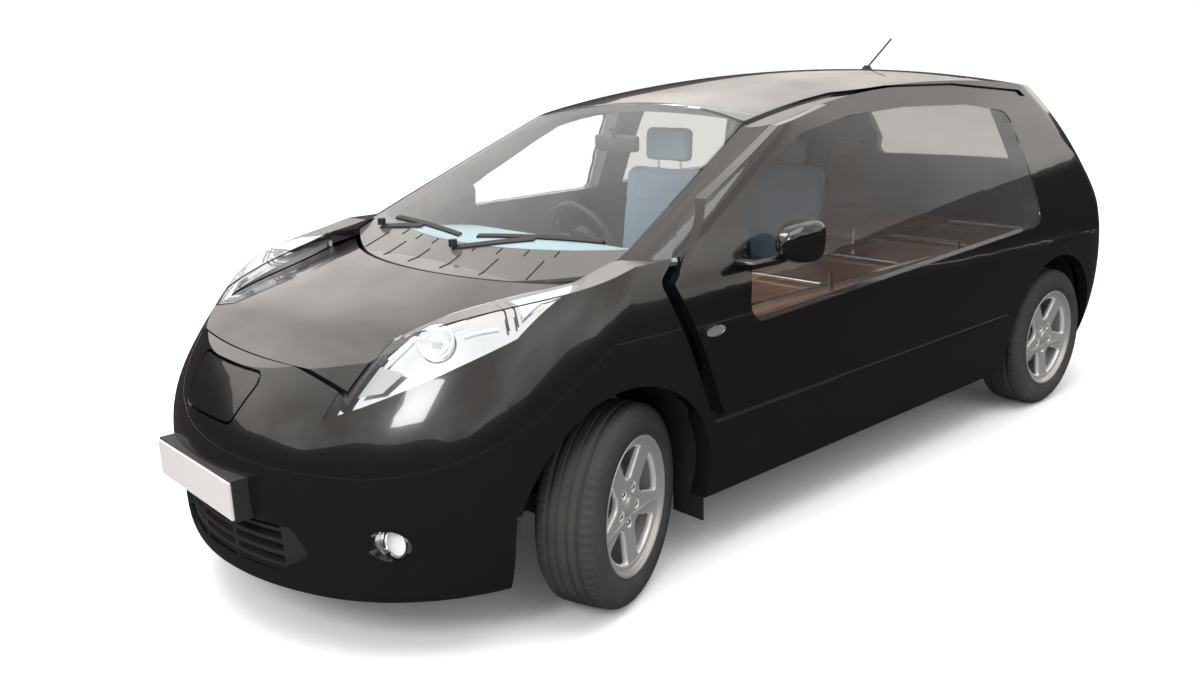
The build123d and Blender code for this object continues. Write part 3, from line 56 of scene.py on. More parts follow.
# %% [markdown]
# ## The camera
# The photograph was taken from ahead and to the left, at about eye height. Its place and lens were worked
# out once from the wheels, the plate and the roof, so the camera here is simply set to those values.

# %% Camera
CAMERA_PLACE = (3.2713, 3.0064, 1.6282)
CAMERA_RIGHT = Vector((-0.74032, 0.67153, -0.03116))
CAMERA_DOWN = Vector((0.19335, 0.16831, -0.96658))
CAMERA_AHEAD = Vector((-0.64385, -0.72161, -0.25445))
LENS_MM = 31.80
SENSOR_MM = 36.0
CLIP_END = 200

camera_data = bpy.data.cameras.new("photo_camera")
camera_data.sensor_width = SENSOR_MM
camera_data.lens = LENS_MM
camera_data.clip_end = CLIP_END
camera = bpy.data.objects.new("photo_camera", camera_data)
SCENE.collection.objects.link(camera)
turn = Matrix((CAMERA_RIGHT, -CAMERA_DOWN, -CAMERA_AHEAD)).transposed()
camera.matrix_world = Matrix.Translation(CAMERA_PLACE) @ turn.to_4x4()
SCENE.camera = camera
SCENE.view_settings.view_transform = "Standard"

# %% [markdown]
# ## The studio
# Black paint has almost no colour of its own: what we see is what it mirrors. A pale sky lights the tops,
# and dark cards round the car, as car photographers use, keep the flanks dark. Only mirror rays see the
# cards.

# %% Floor, sky, cards and lamps
FLOOR_SIZE = 60
FLOOR_COLOUR = (0.55, 0.54, 0.53)
FLOOR_SEEN = (1.25, 1.23, 1.21)
CARD_COLOUR = (0.035, 0.031, 0.029)
CARD_RADIUS = 9.0
CARD_HEIGHT = 2.6
CARD_STEPS = 48
CARD_WAVES = ((0.22, 5 / CARD_STEPS * 2 * math.pi), (0.1, 1.7))
GROUND_CARD = 8.8
GROUND_LIFT = 0.002


def new_material(name):
    """A material with its Principled shader, ready for nodes."""
    made = bpy.data.materials.new(name)
    made.use_nodes = True
    tree = made.node_tree
    return made, tree, tree.nodes["Principled BSDF"]


def set_inputs(node, values):
    """Sets input sockets of a node, each given by its name or number."""
    for key, value in values.items():
        node.inputs[key].default_value = value


def add_node(tree, kind, values=None, **settings):
    """A new shader node with its settings, then the values of its input sockets."""
    node = tree.nodes.new("ShaderNode" + kind)
    for key, value in settings.items():
        setattr(node, key, value)
    set_inputs(node, values or {})
    return node


def add_ramp(tree, dark, light, start=0.0, end=1.0):
    """A colour ramp from a dark to a light colour."""
    ramp = add_node(tree, "ValToRGB")
    for stop, place, colour in zip(ramp.color_ramp.elements, (start, end), (dark, light)):
        stop.position = place
        stop.color = (*colour, 1)
    return ramp


def wire(tree, *rows):
    """Links sockets; a row is (from node, its output, to node, its input)."""
    for source, output, target, socket in rows:
        tree.links.new(source.outputs[output], target.inputs[socket])


def linked(name, mesh, smooth=True):
    """A mesh as an object of the scene."""
    if smooth:
        mesh.polygons.foreach_set("use_smooth", [True] * len(mesh.polygons))
    made = bpy.data.objects.new(name, mesh)
    SCENE.collection.objects.link(made)
    return made


def mesh_object(name, points, faces, smooth=True):
    """A mesh object in the row frame, linked to the scene."""
    mesh = bpy.data.meshes.new(name)
    mesh.from_pydata([tuple(point) for point in points], [], [tuple(face) for face in faces])
    mesh.update()
    return linked(name, mesh, smooth)


def circle_outline(radius, steps, centre=(0, 0)):
    turns = np.linspace(0, 2 * math.pi, steps + 1)[:-1]
    return [(centre[0] + radius * math.cos(a), centre[1] + radius * math.sin(a)) for a in turns]


def ring_faces(levels, around):
    """Faces between stacked rings that have the same number of points."""
    faces = []
    for level in range(levels - 1):
        here = level * around
        there = here + around
        for i in range(around):
            ahead = (i + 1) % around
            faces.append((here + i, here + ahead, there + ahead, there + i))
    return faces


def last_ring(levels, around):
    """The face that closes the last of the stacked rings."""
    return tuple(range((levels - 1) * around, levels * around))


def floor_material():
    """Pale to the eye and to mirrors, and plain grey to bounced light."""
    made, tree, shader = new_material("floor_paper")
    paths = add_node(tree, "LightPath")
    first = add_node(tree, "Math", operation="MAXIMUM")
    second = add_node(tree, "Math", operation="MAXIMUM")
    tones = {"A": (*FLOOR_COLOUR, 1), "B": (*FLOOR_SEEN, 1)}
    mix = add_node(tree, "Mix", tones, data_type="RGBA")
    diffuse = add_node(tree, "BsdfDiffuse")
    wire(tree, (paths, "Is Camera Ray", first, 0), (paths, "Is Glossy Ray", first, 1),
         (first, 0, second, 0), (paths, "Is Transmission Ray", second, 1), (second, 0, mix, "Factor"),
         (mix, "Result", diffuse, "Color"), (diffuse, 0, tree.nodes["Material Output"], "Surface"))
    tree.nodes.remove(shader)
    return made


def card_material():
    made, tree, shader = new_material("dark_card")
    set_inputs(shader, {"Base Color": (*CARD_COLOUR, 1), "Roughness": 1, "Specular IOR Level": 0})
    return made


def seen_by_mirrors_only(card):
    for ray in ("camera", "diffuse", "shadow", "transmission"):
        setattr(card, f"visible_{ray}", False)


half = FLOOR_SIZE / 2
floor_corners = [(-half, -half, 0), (half, -half, 0), (half, half, 0), (-half, half, 0)]
floor = mesh_object("studio_floor", floor_corners, [(0, 1, 2, 3)])
floor.data.materials.append(floor_material())
ring = circle_outline(CARD_RADIUS, CARD_STEPS)
wall_points = [(x, y, 0) for x, y in ring]
for step, (x, y) in enumerate(ring):
    top = 1 + sum(swing * math.sin(turn * step) for swing, turn in CARD_WAVES)
    wall_points.append((x, y, CARD_HEIGHT * top))
wall = mesh_object("dark_wall_card", wall_points, ring_faces(2, CARD_STEPS))
ground_points = [(x, y, GROUND_LIFT) for x, y in circle_outline(GROUND_CARD, CARD_STEPS)]
ground = mesh_object("dark_ground_card", ground_points, [tuple(range(CARD_STEPS))])
for card in (wall, ground):
    card.data.materials.append(card_material())
    seen_by_mirrors_only(card)

SKY_COLOUR = (1.0, 1.0, 1.0)
SKY_STRENGTH = 1.05
world = bpy.data.worlds.new("overcast_sky")
world.use_nodes = True
set_inputs(world.node_tree.nodes["Background"], {"Color": (*SKY_COLOUR, 1), "Strength": SKY_STRENGTH})
SCENE.world = world

DOME_RADIUS = 22.0
DOME_AROUND = 48
DOME_UP = 16
DOME_TOP_DEG = 88


def dome_material():
    """Warm cloud light in bright and dim patches, for mirrors only."""
    made, tree, shader = new_material("cloud_card")
    place = add_node(tree, "TexCoord")
    clouds = add_node(tree, "TexNoise", {"Scale": 0.13, "Detail": 5})
    ramp = add_ramp(tree, (0.42, 0.385, 0.36), (1.0, 0.955, 0.91), start=0.36, end=0.66)
    set_inputs(shader, {"Base Color": (0, 0, 0, 1), "Specular IOR Level": 0, "Emission Strength": 1.5})
    wire(tree, (place, "Object", clouds, "Vector"), (clouds, "Fac", ramp, "Fac"),
         (ramp, "Color", shader, "Emission Color"))
    return made


dome_points = []
for level in range(DOME_UP):
    rise = math.radians(DOME_TOP_DEG * level / (DOME_UP - 1))
    reach = DOME_RADIUS * math.cos(rise)
    dome_points += [(x, y, DOME_RADIUS * math.sin(rise)) for x, y in circle_outline(reach, DOME_AROUND)]
dome_faces = ring_faces(DOME_UP, DOME_AROUND) + [last_ring(DOME_UP, DOME_AROUND)]
dome = mesh_object("cloud_dome_card", dome_points, dome_faces)
dome.data.materials.append(dome_material())
seen_by_mirrors_only(dome)

LAMPS = [
    {"name": "high_softbox", "place": (1.0, 1.5, 6.5), "aim": (0, 0, 0.6), "size": 5.0, "watts": 160},
    {"name": "front_softbox", "place": (5.0, 2.0, 3.2), "aim": (1.4, 0.4, 0.7), "size": 1.2, "watts": 60},
    {"name": "cabin_softbox", "place": (2.5, -2.0, 5.0), "aim": (0, 0, 0.9), "size": 2.0, "watts": 90},
]
for row in LAMPS:
    lamp_data = bpy.data.lights.new(row["name"], "AREA")
    lamp_data.size = row["size"]
    lamp_data.energy = row["watts"]
    lamp = bpy.data.objects.new(row["name"], lamp_data)
    lamp.location = row["place"]
    lamp.rotation_euler = (Vector(row["aim"]) - Vector(row["place"])).to_track_quat("-Z", "Y").to_euler()
    SCENE.collection.objects.link(lamp)
print("lamps", len(LAMPS))

# %% [markdown]
# ## Effects that several finishes share
# Dust settles low on the car, moulded plastic and leather have a fine grain, and cloth is woven. Each
# effect is a node group, built once, and each material places it with its own values.

# %% Node groups
COLOUR = "NodeSocketColor"
NUMBER = "NodeSocketFloat"


def new_group(name, inputs, outputs):
    """A shader node group with named sockets: inputs are (name, kind, default), outputs (name, kind)."""
    group = bpy.data.node_groups.new(name, "ShaderNodeTree")
    for socket_name, kind, default in inputs:
        socket = group.interface.new_socket(socket_name, in_out="INPUT", socket_type=kind)
        socket.default_value = default
    for socket_name, kind in outputs:
        group.interface.new_socket(socket_name, in_out="OUTPUT", socket_type=kind)
    return group, group.nodes.new("NodeGroupInput"), group.nodes.new("NodeGroupOutput")


def make_dust_group():
    """Road dust: a noise mask that is strongest near the ground."""
    group, source, result = new_group(
        "road_dust",
        [("Clean", COLOUR, (0, 0, 0, 1)), ("Dust", COLOUR, (0.2, 0.18, 0.16, 1)),
         ("Amount", NUMBER, 0.2), ("Reach", NUMBER, 0.7), ("Clean Roughness", NUMBER, 0.2)],
        [("Color", COLOUR), ("Roughness", NUMBER)],
    )
    place = add_node(group, "TexCoord")
    split = add_node(group, "SeparateXYZ")
    noise = add_node(group, "TexNoise", {"Scale": 7, "Detail": 8})
    fade = add_node(group, "MapRange", {"From Min": 0.05, "To Min": 1, "To Max": 0.12})
    first = add_node(group, "Math", operation="MULTIPLY")
    second = add_node(group, "Math", operation="MULTIPLY")
    mix = add_node(group, "Mix", data_type="RGBA")
    rough = add_node(group, "Math", {1: 0.5}, operation="MULTIPLY_ADD")
    wire(group, (place, "Object", split, 0), (place, "Object", noise, "Vector"),
         (split, "Z", fade, "Value"), (source, "Reach", fade, "From Max"), (noise, "Fac", first, 0),
         (fade, "Result", first, 1), (first, 0, second, 0), (source, "Amount", second, 1),
         (second, 0, mix, "Factor"), (source, "Clean", mix, "A"), (source, "Dust", mix, "B"),
         (second, 0, rough, 0), (source, "Clean Roughness", rough, 2), (mix, "Result", result, "Color"),
         (rough, 0, result, "Roughness"))
    return group


def make_grain_group():
    """A fine pebble grain as a height."""
    group, source, result = new_group(
        "fine_grain",
        [("Scale", NUMBER, 300.0), ("Softness", NUMBER, 0.5)],
        [("Height", NUMBER)],
    )
    place = add_node(group, "TexCoord")
    cells = add_node(group, "TexVoronoi", feature="SMOOTH_F1")
    wire(group, (place, "Object", cells, "Vector"), (source, "Scale", cells, "Scale"),
         (source, "Softness", cells, "Smoothness"), (cells, "Distance", result, "Height"))
    return group


def make_weave_group():
    """Crossed threads: a height and a shade."""
    group, source, result = new_group(
        "cloth_weave",
        [("Threads", NUMBER, 400.0), ("Dark", COLOUR, (0.2, 0.2, 0.2, 1)),
         ("Light", COLOUR, (0.5, 0.5, 0.5, 1))],
        [("Height", NUMBER), ("Color", COLOUR)],
    )
    place = add_node(group, "TexCoord")
    waves = []
    for direction in ("DIAGONAL", "Z"):
        wave_node = add_node(group, "TexWave", bands_direction=direction)
        wire(group, (place, "Object", wave_node, "Vector"), (source, "Threads", wave_node, "Scale"))
        waves.append(wave_node)
    blend = add_node(group, "Math", operation="MULTIPLY")
    mix = add_node(group, "Mix", data_type="RGBA")
    wire(group, (waves[0], "Fac", blend, 0), (waves[1], "Fac", blend, 1), (blend, 0, mix, "Factor"),
         (source, "Dark", mix, "A"), (source, "Light", mix, "B"), (blend, 0, result, "Height"),
         (mix, "Result", result, "Color"))
    return group


ROAD_DUST = make_dust_group()
FINE_GRAIN = make_grain_group()
CLOTH_WEAVE = make_weave_group()
print("node groups", len(bpy.data.node_groups))

# %% [markdown]
# ## Finishes
# A handful of small functions give each finish. The paint is a dark base under a clear coat; glass lets
# light through; plastics and rubber are dusty and grained; metals differ in colour and in how blurred they
# mirror.

# %% Finish helpers
RELIEF_DEPTH = 0.001
GRAIN_SOFTNESS = 0.6
COAT_ROUGHNESS = 0.02
FILM_ROUGHNESS = 0.015


def add_bump(tree, shader, source, output, strength):
    """Relief on a shader, from the height that a node gives."""
    bump = add_node(tree, "Bump", {"Strength": strength, "Distance": RELIEF_DEPTH})
    wire(tree, (source, output, bump, "Height"), (bump, "Normal", shader, "Normal"))


def add_grain(tree, shader, scale, strength):
    """The fine grain as relief on a shader."""
    grain = add_node(tree, "Group", {"Scale": scale, "Softness": GRAIN_SOFTNESS}, node_tree=FINE_GRAIN)
    add_bump(tree, shader, grain, "Height", strength)


def dusty(name, colour, roughness, dust=0.15, reach=0.7, grain=None, coat=0.0, metallic=0.0,
          dust_colour=(0.22, 0.2, 0.18)):
    """An opaque finish with road dust and, where a grain size is given, a fine relief."""
    made, tree, shader = new_material(name)
    dusting = add_node(tree, "Group", node_tree=ROAD_DUST)
    set_inputs(dusting, {"Clean": (*colour, 1), "Dust": (*dust_colour, 1), "Amount": dust, "Reach": reach,
                         "Clean Roughness": roughness})
    wire(tree, (dusting, "Color", shader, "Base Color"), (dusting, "Roughness", shader, "Roughness"))
    shader.inputs["Metallic"].default_value = metallic
    if coat:
        set_inputs(shader, {"Coat Weight": coat, "Coat Roughness": COAT_ROUGHNESS})
    if grain:
        add_grain(tree, shader, *grain)
    return made


def glassy(name, colour, roughness=0.0, index=1.45):
    """Clear or tinted glass, with a faint film that changes over the pane."""
    made, tree, shader = new_material(name)
    set_inputs(shader, {"Base Color": (*colour, 1), "Transmission Weight": 1, "IOR": index})
    film = add_node(tree, "TexNoise", {"Scale": 3})
    spread = add_node(tree, "MapRange", {"From Min": 0.45, "From Max": 0.8, "To Min": roughness,
                                         "To Max": roughness + FILM_ROUGHNESS})
    place = add_node(tree, "TexCoord")
    wire(tree, (place, "Object", film, "Vector"), (film, "Fac", spread, "Value"),
         (spread, "Result", shader, "Roughness"))
    let_light_through(tree, shader, colour)
    return made


def let_light_through(tree, shader, colour):
    """Light that goes on to the cabin passes the pane straight, so the inside is lit as it is in a car."""
    paths = add_node(tree, "LightPath")
    either = add_node(tree, "Math", operation="MAXIMUM")
    clear = add_node(tree, "BsdfTransparent", {"Color": (*colour, 1)})
    mix = add_node(tree, "MixShader")
    wire(tree, (paths, "Is Shadow Ray", either, 0), (paths, "Is Diffuse Ray", either, 1),
         (either, 0, mix, "Fac"), (shader, "BSDF", mix, 1), (clear, "BSDF", mix, 2),
         (mix, "Shader", tree.nodes["Material Output"], "Surface"))


def wood_finish():
    """Polished reddish veneer: long rings stretched along the car, under a clear lacquer."""
    made, tree, shader = new_material("polished_deck_wood")
    place = add_node(tree, "TexCoord")
    stretch = add_node(tree, "Mapping", {"Scale": (0.8, 9, 9)})
    rings = add_node(tree, "TexNoise", {"Scale": 4, "Detail": 9, "Distortion": 1.2})
    ramp = add_ramp(tree, (0.3, 0.085, 0.022), (0.72, 0.27, 0.075), start=0.3, end=0.72)
    wire(tree, (place, "Object", stretch, "Vector"), (stretch, "Vector", rings, "Vector"),
         (rings, "Fac", ramp, "Fac"), (ramp, "Color", shader, "Base Color"))
    add_bump(tree, shader, rings, "Fac", 0.08)
    set_inputs(shader, {"Roughness": 0.28, "Coat Weight": 0.8, "Coat Roughness": 0.04})
    return made


def dash_finish():
    """Moulded dashboard: pale on the middle of its top, dark at its ends and below."""
    made, tree, shader = new_material("dash_plastic_pale_top")
    place = add_node(tree, "TexCoord")
    split = add_node(tree, "SeparateXYZ")
    across = add_node(tree, "Math", operation="ABSOLUTE")
    inner = add_node(tree, "MapRange", {"From Min": 0.66, "From Max": 0.64})
    upper = add_node(tree, "MapRange", {"From Min": 0.9, "From Max": 0.92})
    both = add_node(tree, "Math", operation="MULTIPLY")
    # The colour is set by place alone: pale on the top middle, dark at the ends and underneath.
    ramp = add_ramp(tree, (0.03, 0.031, 0.033), (0.42, 0.56, 0.62))
    wire(tree, (place, "Object", split, 0), (split, "Y", across, 0), (across, 0, inner, "Value"),
         (split, "Z", upper, "Value"), (inner, "Result", both, 0), (upper, "Result", both, 1),
         (both, 0, ramp, "Fac"), (ramp, "Color", shader, "Base Color"))
    shader.inputs["Roughness"].default_value = 0.6
    add_grain(tree, shader, 500.0, 0.3)
    return made


def roof_finish():
    """Black gloss paint above and a pale, plain headlining on the faces that look down into the cabin."""
    made, tree, shader = new_material("lined_roof_paint")
    shape = add_node(tree, "NewGeometry")
    split = add_node(tree, "SeparateXYZ")
    below = add_node(tree, "MapRange", {"From Min": -0.55, "From Max": -0.65})
    outside = add_node(tree, "MapRange", {"From Min": -0.65, "From Max": -0.55})
    ramp = add_ramp(tree, (0.007, 0.0066, 0.0064), (0.62, 0.62, 0.6))
    blur = add_node(tree, "MapRange", {"To Min": 0.22, "To Max": 0.9})
    wire(tree, (shape, "True Normal", split, 0), (split, "Z", below, "Value"),
         (split, "Z", outside, "Value"), (below, "Result", ramp, "Fac"), (below, "Result", blur, "Value"),
         (ramp, "Color", shader, "Base Color"), (blur, "Result", shader, "Roughness"),
         (outside, "Result", shader, "Coat Weight"))
    shader.inputs["Coat Roughness"].default_value = COAT_ROUGHNESS
    return made


def cloth_finish(name, dark, light):
    made, tree, shader = new_material(name)
    threads = {"Threads": 220.0, "Dark": (*dark, 1), "Light": (*light, 1)}
    weave = add_node(tree, "Group", threads, node_tree=CLOTH_WEAVE)
    wire(tree, (weave, "Color", shader, "Base Color"))
    add_bump(tree, shader, weave, "Height", 0.3)
    set_inputs(shader, {"Roughness": 0.9, "Sheen Weight": 0.3})
    return made


def tail_finish():
    """Red below and clear above, as the lamps run up the rear pillars."""
    made, tree, shader = new_material("tail_lamp_plastic")
    place = add_node(tree, "TexCoord")
    split = add_node(tree, "SeparateXYZ")
    rise = add_node(tree, "MapRange", {"From Min": 1.03, "From Max": 1.05})
    tones = {"A": (0.16, 0.008, 0.01, 1), "B": (0.6, 0.57, 0.55, 1)}
    mix = add_node(tree, "Mix", tones, data_type="RGBA")
    wire(tree, (place, "Object", split, 0), (split, "Z", rise, "Value"), (rise, "Result", mix, "Factor"),
         (mix, "Result", shader, "Base Color"))
    set_inputs(shader, {"Roughness": 0.12, "Coat Weight": 1})
    return made


# %% The finishes of this car
FINISH = {
    "paint": dusty("black_gloss_paint", (0.007, 0.0066, 0.0064), 0.22, dust=0.02, coat=1.0),
    "roof": roof_finish(),
    "panel": dusty("black_panel_gloss", (0.006, 0.0058, 0.0056), 0.12, dust=0.015, coat=1.0),
    "screen_glass": glassy("windscreen_glass", (0.93, 0.96, 0.95)),
    "dark_glass": glassy("tinted_side_glass", (0.56, 0.55, 0.54)),
    "lens": glassy("clear_lamp_lens", (0.97, 0.98, 0.98)),
    "lamp_inside": dusty("lamp_reflector", (0.86, 0.87, 0.88), 0.12, dust=0.02, reach=1.2, metallic=1.0),
    "lamp_white": dusty("lamp_white_segment", (0.86, 0.87, 0.87), 0.3, dust=0.02),
    "tail_red": tail_finish(),
    "trim": dusty("black_moulded_trim", (0.018, 0.0175, 0.017), 0.5, dust=0.12, grain=(420.0, 0.25)),
    "scuttle": dusty("satin_scuttle_trim", (0.11, 0.105, 0.1), 0.24, dust=0.1, reach=1.6, coat=1.0),
    "plate": dusty("blank_plate_face", (0.78, 0.74, 0.73), 0.35, dust=0.08),
    "alloy": dusty("silver_alloy", (0.56, 0.55, 0.54), 0.34, dust=0.12, metallic=0.55),
    # The bevel's brighter colour is a painted highlight for the shine of the wheel's rounded edges.
    "alloy_bevel": dusty("alloy_bevel_painted_highlight", (0.9, 0.89, 0.88), 0.25, dust=0.04, metallic=0.35),
    "lens_bulb": dusty("projector_glass", (0.5, 0.52, 0.54), 0.05, dust=0.02, reach=1.2, coat=1.0),
    "pocket": dusty("indicator_grey", (0.42, 0.42, 0.42), 0.25, dust=0.02, metallic=0.5),
    "rubber": dusty("tyre_rubber", (0.02, 0.019, 0.018), 0.68, dust=0.32, reach=0.9, grain=(260.0, 0.2)),
    "chassis": dusty("chassis_black", (0.02, 0.02, 0.021), 0.55, dust=0.25, reach=0.6),
    "cast": dusty("cast_metal", (0.3, 0.3, 0.31), 0.5, dust=0.2, metallic=0.9, grain=(160.0, 0.3)),
    "disc": dusty("brake_disc_steel", (0.34, 0.32, 0.3), 0.35, dust=0.2, metallic=1.0),
    "dash": dash_finish(),
    "grip": dusty("dark_grip_leather", (0.03, 0.03, 0.032), 0.5, dust=0.02, grain=(350.0, 0.4)),
    "seat": cloth_finish("pale_seat_cloth", (0.3, 0.42, 0.56), (0.5, 0.62, 0.74)),
    "wood": wood_finish(),
    "bright": dusty("polished_fitting", (0.75, 0.74, 0.72), 0.14, dust=0.03, metallic=1.0),
    # Dark split lines in the lamps, and painted shade for the inside of the scuttle slots.
    "black": dusty("dark_joint_and_painted_slot_shade", (0.006, 0.006, 0.006), 0.6, dust=0.1),
}
NODE_FINISH = {
    "roof": ["roof_panel"],
    "paint": ["bonnet", "front_bumper", "front_wing_left", "front_wing_right", "driver_door",
              "rear_door_right", "tailgate", "rear_bumper", "body_side_right", "body_side_left", "charge_lid",
              "door_mirror_right"],
    "panel": ["left_side_panel", "door_mirror_left"],
    "screen_glass": ["windscreen", "driver_door_glass"],
    "dark_glass": ["left_side_glass", "rear_door_right_glass", "tailgate_glass"],
    "lens": ["headlamp_lenses", "fog_lamps", "repeater_lamps"],
    "lamp_inside": ["headlamp_units"],
    "tail_red": ["tail_lamps"],
    "trim": ["plate_holder", "lower_grille", "wipers", "wheel_liners", "mud_flaps", "charge_port",
             "roof_aerial"],
    "scuttle": ["scuttle_panel"],
    "plate": ["front_plate"],
    "chassis": ["floor_pan", "battery_pack", "front_subframe", "rear_axle_beam", "deck_frame"],
    "cast": ["drive_unit", "knuckle_left", "knuckle_right"],
    "dash": ["dashboard"],
    "grip": ["steering_wheel"],
    "seat": ["driver_seat", "rear_seat"],
    "wood": ["coffin_deck"],
    "bright": ["deck_fittings"],
    "alloy": [f"{axle}_rim_{side}" for axle, side in WHEELS],
    "rubber": [f"{axle}_tyre_{side}" for axle, side in WHEELS],
}


def give_finish(thing, *finishes):
    """Gives a piece its material, or several in order, and returns the piece."""
    thing.data.materials.clear()
    for finish in finishes:
        thing.data.materials.append(FINISH[finish])
    return thing


for finish, names in NODE_FINISH.items():
    for name in names:
        give_finish(NODES[name], finish)
print("finished nodes", sum(len(names) for names in NODE_FINISH.values()))

# %% [markdown]
# ## Tyres
# A road tyre bulges below the tread, has four grooves round it and blocks along its shoulders. One profile
# is carried round the axle; at every fourth step the shoulder is cut down, which makes the blocks.

# %% Tyre and wheel places
TYRE_STEPS = 288
BLOCK_STEPS = 4
TREAD_RADIUS = 0.316
TREAD_HALF_WIDTH = 0.072
TREAD_PLACES = 13
TREAD_CROWN = 0.0028
GROOVE_EDGES = (-1.25, -0.8, 0.8, 1.25)
GROOVE_PLACES = (-0.048, -0.017, 0.017, 0.048)
GROOVE_HALF_WIDTH = 0.0045
GROOVE_DEPTH = 0.007
SIPE_DEPTH = 0.0035
SIPE_BAND = (0.056, 0.092)
SIPE_LOWEST = 0.292
SIDEWALL = [
    (0.2035, 0.0850), (0.2085, 0.0905), (0.2160, 0.0950), (0.2210, 0.0965), (0.2230, 0.0950),
    (0.2250, 0.0966), (0.2350, 0.0996), (0.2450, 0.1014), (0.2560, 0.1022), (0.2660, 0.1018),
    (0.2760, 0.1003), (0.2840, 0.0983), (0.2865, 0.0966), (0.2890, 0.0966), (0.2950, 0.0938),
    (0.3015, 0.0893), (0.3070, 0.0838), (0.3110, 0.0780),
]


def wheel_matrix(axle, side):
    """The place of a wheel: x ahead, y up, z outwards along the axle."""
    joint = JOINTS[f"{axle}_spin_{side}"]
    outward = Vector(joint["axis"]) * (1 if side == "left" else -1)
    upward = Vector((0, 0, 1))
    ahead = upward.cross(outward)
    return Matrix.Translation(joint["pos_m"]) @ Matrix((ahead, upward, outward)).transposed().to_4x4()


def tread_profile():
    """Radius and width of the tread from the outer edge to the inner edge, with its grooves."""
    places = {round(z, 5) for z in np.linspace(-TREAD_HALF_WIDTH, TREAD_HALF_WIDTH, TREAD_PLACES)}
    for groove in GROOVE_PLACES:
        for shift in GROOVE_EDGES:
            places.add(round(groove + shift * GROOVE_HALF_WIDTH, 5))
    profile = []
    for z in sorted(places, reverse=True):
        radius = TREAD_RADIUS - TREAD_CROWN * (z / TREAD_HALF_WIDTH) ** 2
        if any(abs(z - groove) < GROOVE_HALF_WIDTH for groove in GROOVE_PLACES):
            radius -= GROOVE_DEPTH
        profile.append((radius, z))
    return profile


def ring_mesh(profile_of_step, steps, closed):
    """Points and faces of a profile carried round the z axis; the profile may change with the step."""
    points = []
    faces = []
    count = len(profile_of_step(0))
    for step in range(steps):
        angle = 2 * math.pi * step / steps
        points += [(r * math.cos(angle), r * math.sin(angle), z) for r, z in profile_of_step(step)]
    for step in range(steps):
        here = step * count
        there = (step + 1) % steps * count
        for index in range(count if closed else count - 1):
            ahead = (index + 1) % count
            faces.append((here + index, there + index, there + ahead, here + ahead))
    return points, faces


def turned(name, profile, steps, closed=False, smooth=True):
    """A piece turned about the z axis from one profile."""
    return mesh_object(name, *ring_mesh(lambda step: profile, steps, closed), smooth=smooth)


TYRE_PROFILE = SIDEWALL + tread_profile() + [(r, -z) for r, z in reversed(SIDEWALL)]


def tyre_profile(step):
    """The whole profile, with the shoulders cut down at every step that ends a block."""
    if step % BLOCK_STEPS:
        return TYRE_PROFILE
    cut = []
    for radius, z in TYRE_PROFILE:
        inside = SIPE_BAND[0] < abs(z) < SIPE_BAND[1] and radius > SIPE_LOWEST
        cut.append((radius - SIPE_DEPTH if inside else radius, z))
    return cut


def place_piece(thing, matrix, body, finish=None, replaces=None):
    thing.data.transform(matrix)
    thing.data.update()
    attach(thing, body)
    if finish:
        give_finish(thing, finish)
    if replaces:
        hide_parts(replaces)
    return thing


for axle, side in WHEELS:
    tyre = mesh_object(f"{axle}_tyre_{side}_look", *ring_mesh(tyre_profile, TYRE_STEPS, closed=True))
    place_piece(tyre, wheel_matrix(axle, side), f"{axle}_wheel_{side}", "rubber",
                f"{axle}_tyre_{side}")
print("tyre faces", len(tyre.data.polygons))

# %% [markdown]
# ## Alloy wheels
# The face is one flat shape with five rounded windows, drawn as curves, thickened and given a broad
# rounded edge; that edge is what shines in the photograph, and its steep faces also carry a painted
# highlight, a brighter colour than the face. It is then dished, so that the hub sits deeper than the rim.

# %% Alloy wheels
FACE_RADIUS = 0.2045
FACE_MIDDLE = 0.070
FACE_HALF_THICK = 0.012
EDGE_ROUND = 0.009
WINDOW_INNER = 0.087
WINDOW_OUTER = 0.181
WINDOW_HALF_ANGLE = (10.5, 24.0)
WINDOW_CORNER = 0.014
BEND_SHARE = 0.48
FIRST_WINDOW_DEG = 90
SPOKES = 5
SPOKE_DEG = 360 / SPOKES
FACE_SINK = 0.014
HUB_RISE = 0.006
HUB_RADIUS = 0.05
STEEP_LIMIT = 0.82
NUT_CIRCLE = 0.057
NUT_POCKET = 0.0125
NUT_SIDES = 6
POCKET_STEPS = 20
CAP_RADIUS = 0.030
CAP_STEPS = 48
DISC_STEPS = 96
RIM_STEPS = 144
BARREL = [
    (0.2030, 0.0845), (0.2165, 0.0905), (0.2172, 0.0960), (0.2140, 0.0975), (0.2085, 0.0950),
    (0.2050, 0.0880), (0.2010, 0.0820), (0.1930, 0.0780), (0.1880, 0.0600), (0.1860, 0.0000),
    (0.1900, -0.0800), (0.2070, -0.0950), (0.2140, -0.0972), (0.2170, -0.0950), (0.2165, -0.0905),
    (0.2030, -0.0845),
]
DISC = [(0.142, -0.002), (0.142, -0.026), (0.070, -0.026), (0.070, -0.002)]
DISC_HAT = [(0.072, -0.002), (0.070, 0.050), (0.060, 0.056), (0.0, 0.056)]
CAP = [(CAP_RADIUS, 0.060), (CAP_RADIUS, 0.0735), (CAP_RADIUS - 0.003, 0.0765), (0.012, 0.0785), (0, 0.0785)]
NUT = [(0.0085, 0.050), (0.0085, 0.0665), (0.0065, 0.0695), (0, 0.0695)]


def rounded_outline(corners, radius, arc_steps=8):
    """A closed outline with each corner replaced by a smooth bend."""
    outline = []
    for index, corner in enumerate(corners):
        corner = np.array(corner)
        before = np.array(corners[index - 1]) - corner
        after = np.array(corners[(index + 1) % len(corners)]) - corner
        lengths = np.linalg.norm(before), np.linalg.norm(after)
        reach = min(radius, BEND_SHARE * min(lengths))
        start = corner + before / lengths[0] * reach
        end = corner + after / lengths[1] * reach
        for t in np.linspace(0, 1, arc_steps):
            outline.append(tuple((1 - t) ** 2 * start + 2 * t * (1 - t) * corner + t * t * end))
    return outline


